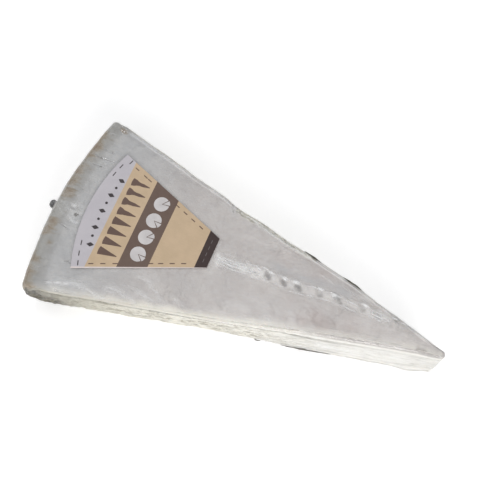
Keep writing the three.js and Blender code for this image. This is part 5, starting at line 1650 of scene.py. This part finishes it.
# =================================================================== stage
def floor_material():
    k = Mat("pale_floor")
    p = k.coord()
    c = k.mix(k.noise(p, 180.0, 2.0), srgb(247, 247, 247), srgb(250, 250, 250))
    sh = k.principled(Base_Color=c, Roughness=0.75)
    k.put(sh.inputs["Emission Color"], (1.0, 1.0, 1.0, 1.0))
    k.put(sh.inputs["Emission Strength"], 0.40)
    return k.surface(sh.outputs[0])


floor = make_object("floor", [(-3, -3, 0), (3, -3, 0), (3, 3, 0), (-3, 3, 0)], [(0, 1, 2, 3)], [floor_material()])

world = bpy.data.worlds.new("world")
scene.world = world
world.use_nodes = True
world.node_tree.nodes["Background"].inputs[0].default_value = (0.98, 0.985, 1.0, 1.0)
world.node_tree.nodes["Background"].inputs[1].default_value = 0.28


def area(name, at, aim, size, energy, colour=(1, 1, 1), size_y=None):
    light = bpy.data.lights.new(name, "AREA")
    light.shape = "RECTANGLE" if size_y else "SQUARE"
    light.size = size
    if size_y:
        light.size_y = size_y
    light.energy = energy
    light.color = colour
    ob = bpy.data.objects.new(name, light)
    ob.location = at
    ob.rotation_mode = "QUATERNION"
    ob.rotation_quaternion = (Vector(aim) - Vector(at)).to_track_quat("-Z", "Y")
    scene.collection.objects.link(ob)
    return ob


area("key_near_tip", (0.52, -0.62, 0.44), (0.02, 0, 0.01), 0.60, 4.9, (1.0, 0.99, 0.98), 0.45)
area("fill_near", (-0.12, -0.80, 0.36), (-0.02, 0, 0.012), 1.00, 1.0, (1.0, 1.0, 1.0), 0.35)
area("fill_heel", (-0.85, 0.10, 0.40), (-0.05, 0, 0.01), 0.70, 0.75, (0.98, 0.99, 1.0), 0.45)
area("soft_above", (-0.16, 0.30, 0.95), (0, 0, 0.01), 0.75, 1.95, (0.985, 0.99, 1.0))
area("glint_far_left", (-0.45, 0.55, 0.60), (0.0, 0, 0.01), 0.12, 0.8, (1, 1, 1))

# =================================================================== camera, at the photo's angle
F_PX, AZ, EL, DIST = 850.0, math.radians(23.94), math.radians(70.02), 0.3820
AIM = Vector((-0.00152, 0.01406, 0.0115))
back = Vector((math.sin(AZ) * math.cos(EL), -math.cos(AZ) * math.cos(EL), math.sin(EL)))
right = Vector((math.cos(AZ), math.sin(AZ), 0))
up = back.cross(right)
cam_data = bpy.data.cameras.new("camera")
cam_data.sensor_fit = "HORIZONTAL"
cam_data.sensor_width = 36.0
cam_data.lens = F_PX / 500.0 * 36.0
cam_data.clip_start = 0.01
cam = bpy.data.objects.new("camera", cam_data)
cam.matrix_world = Matrix(
    ((right.x, up.x, back.x, 0), (right.y, up.y, back.y, 0), (right.z, up.z, back.z, 0), (0, 0, 0, 1))
)
cam.location = AIM + back * DIST
scene.collection.objects.link(cam)
scene.camera = cam

scene.view_settings.view_transform = "Standard"
scene.view_settings.look = "None"
scene.view_settings.exposure = 0.0
scene.view_settings.gamma = 1.0

bpy.context.view_layer.update()
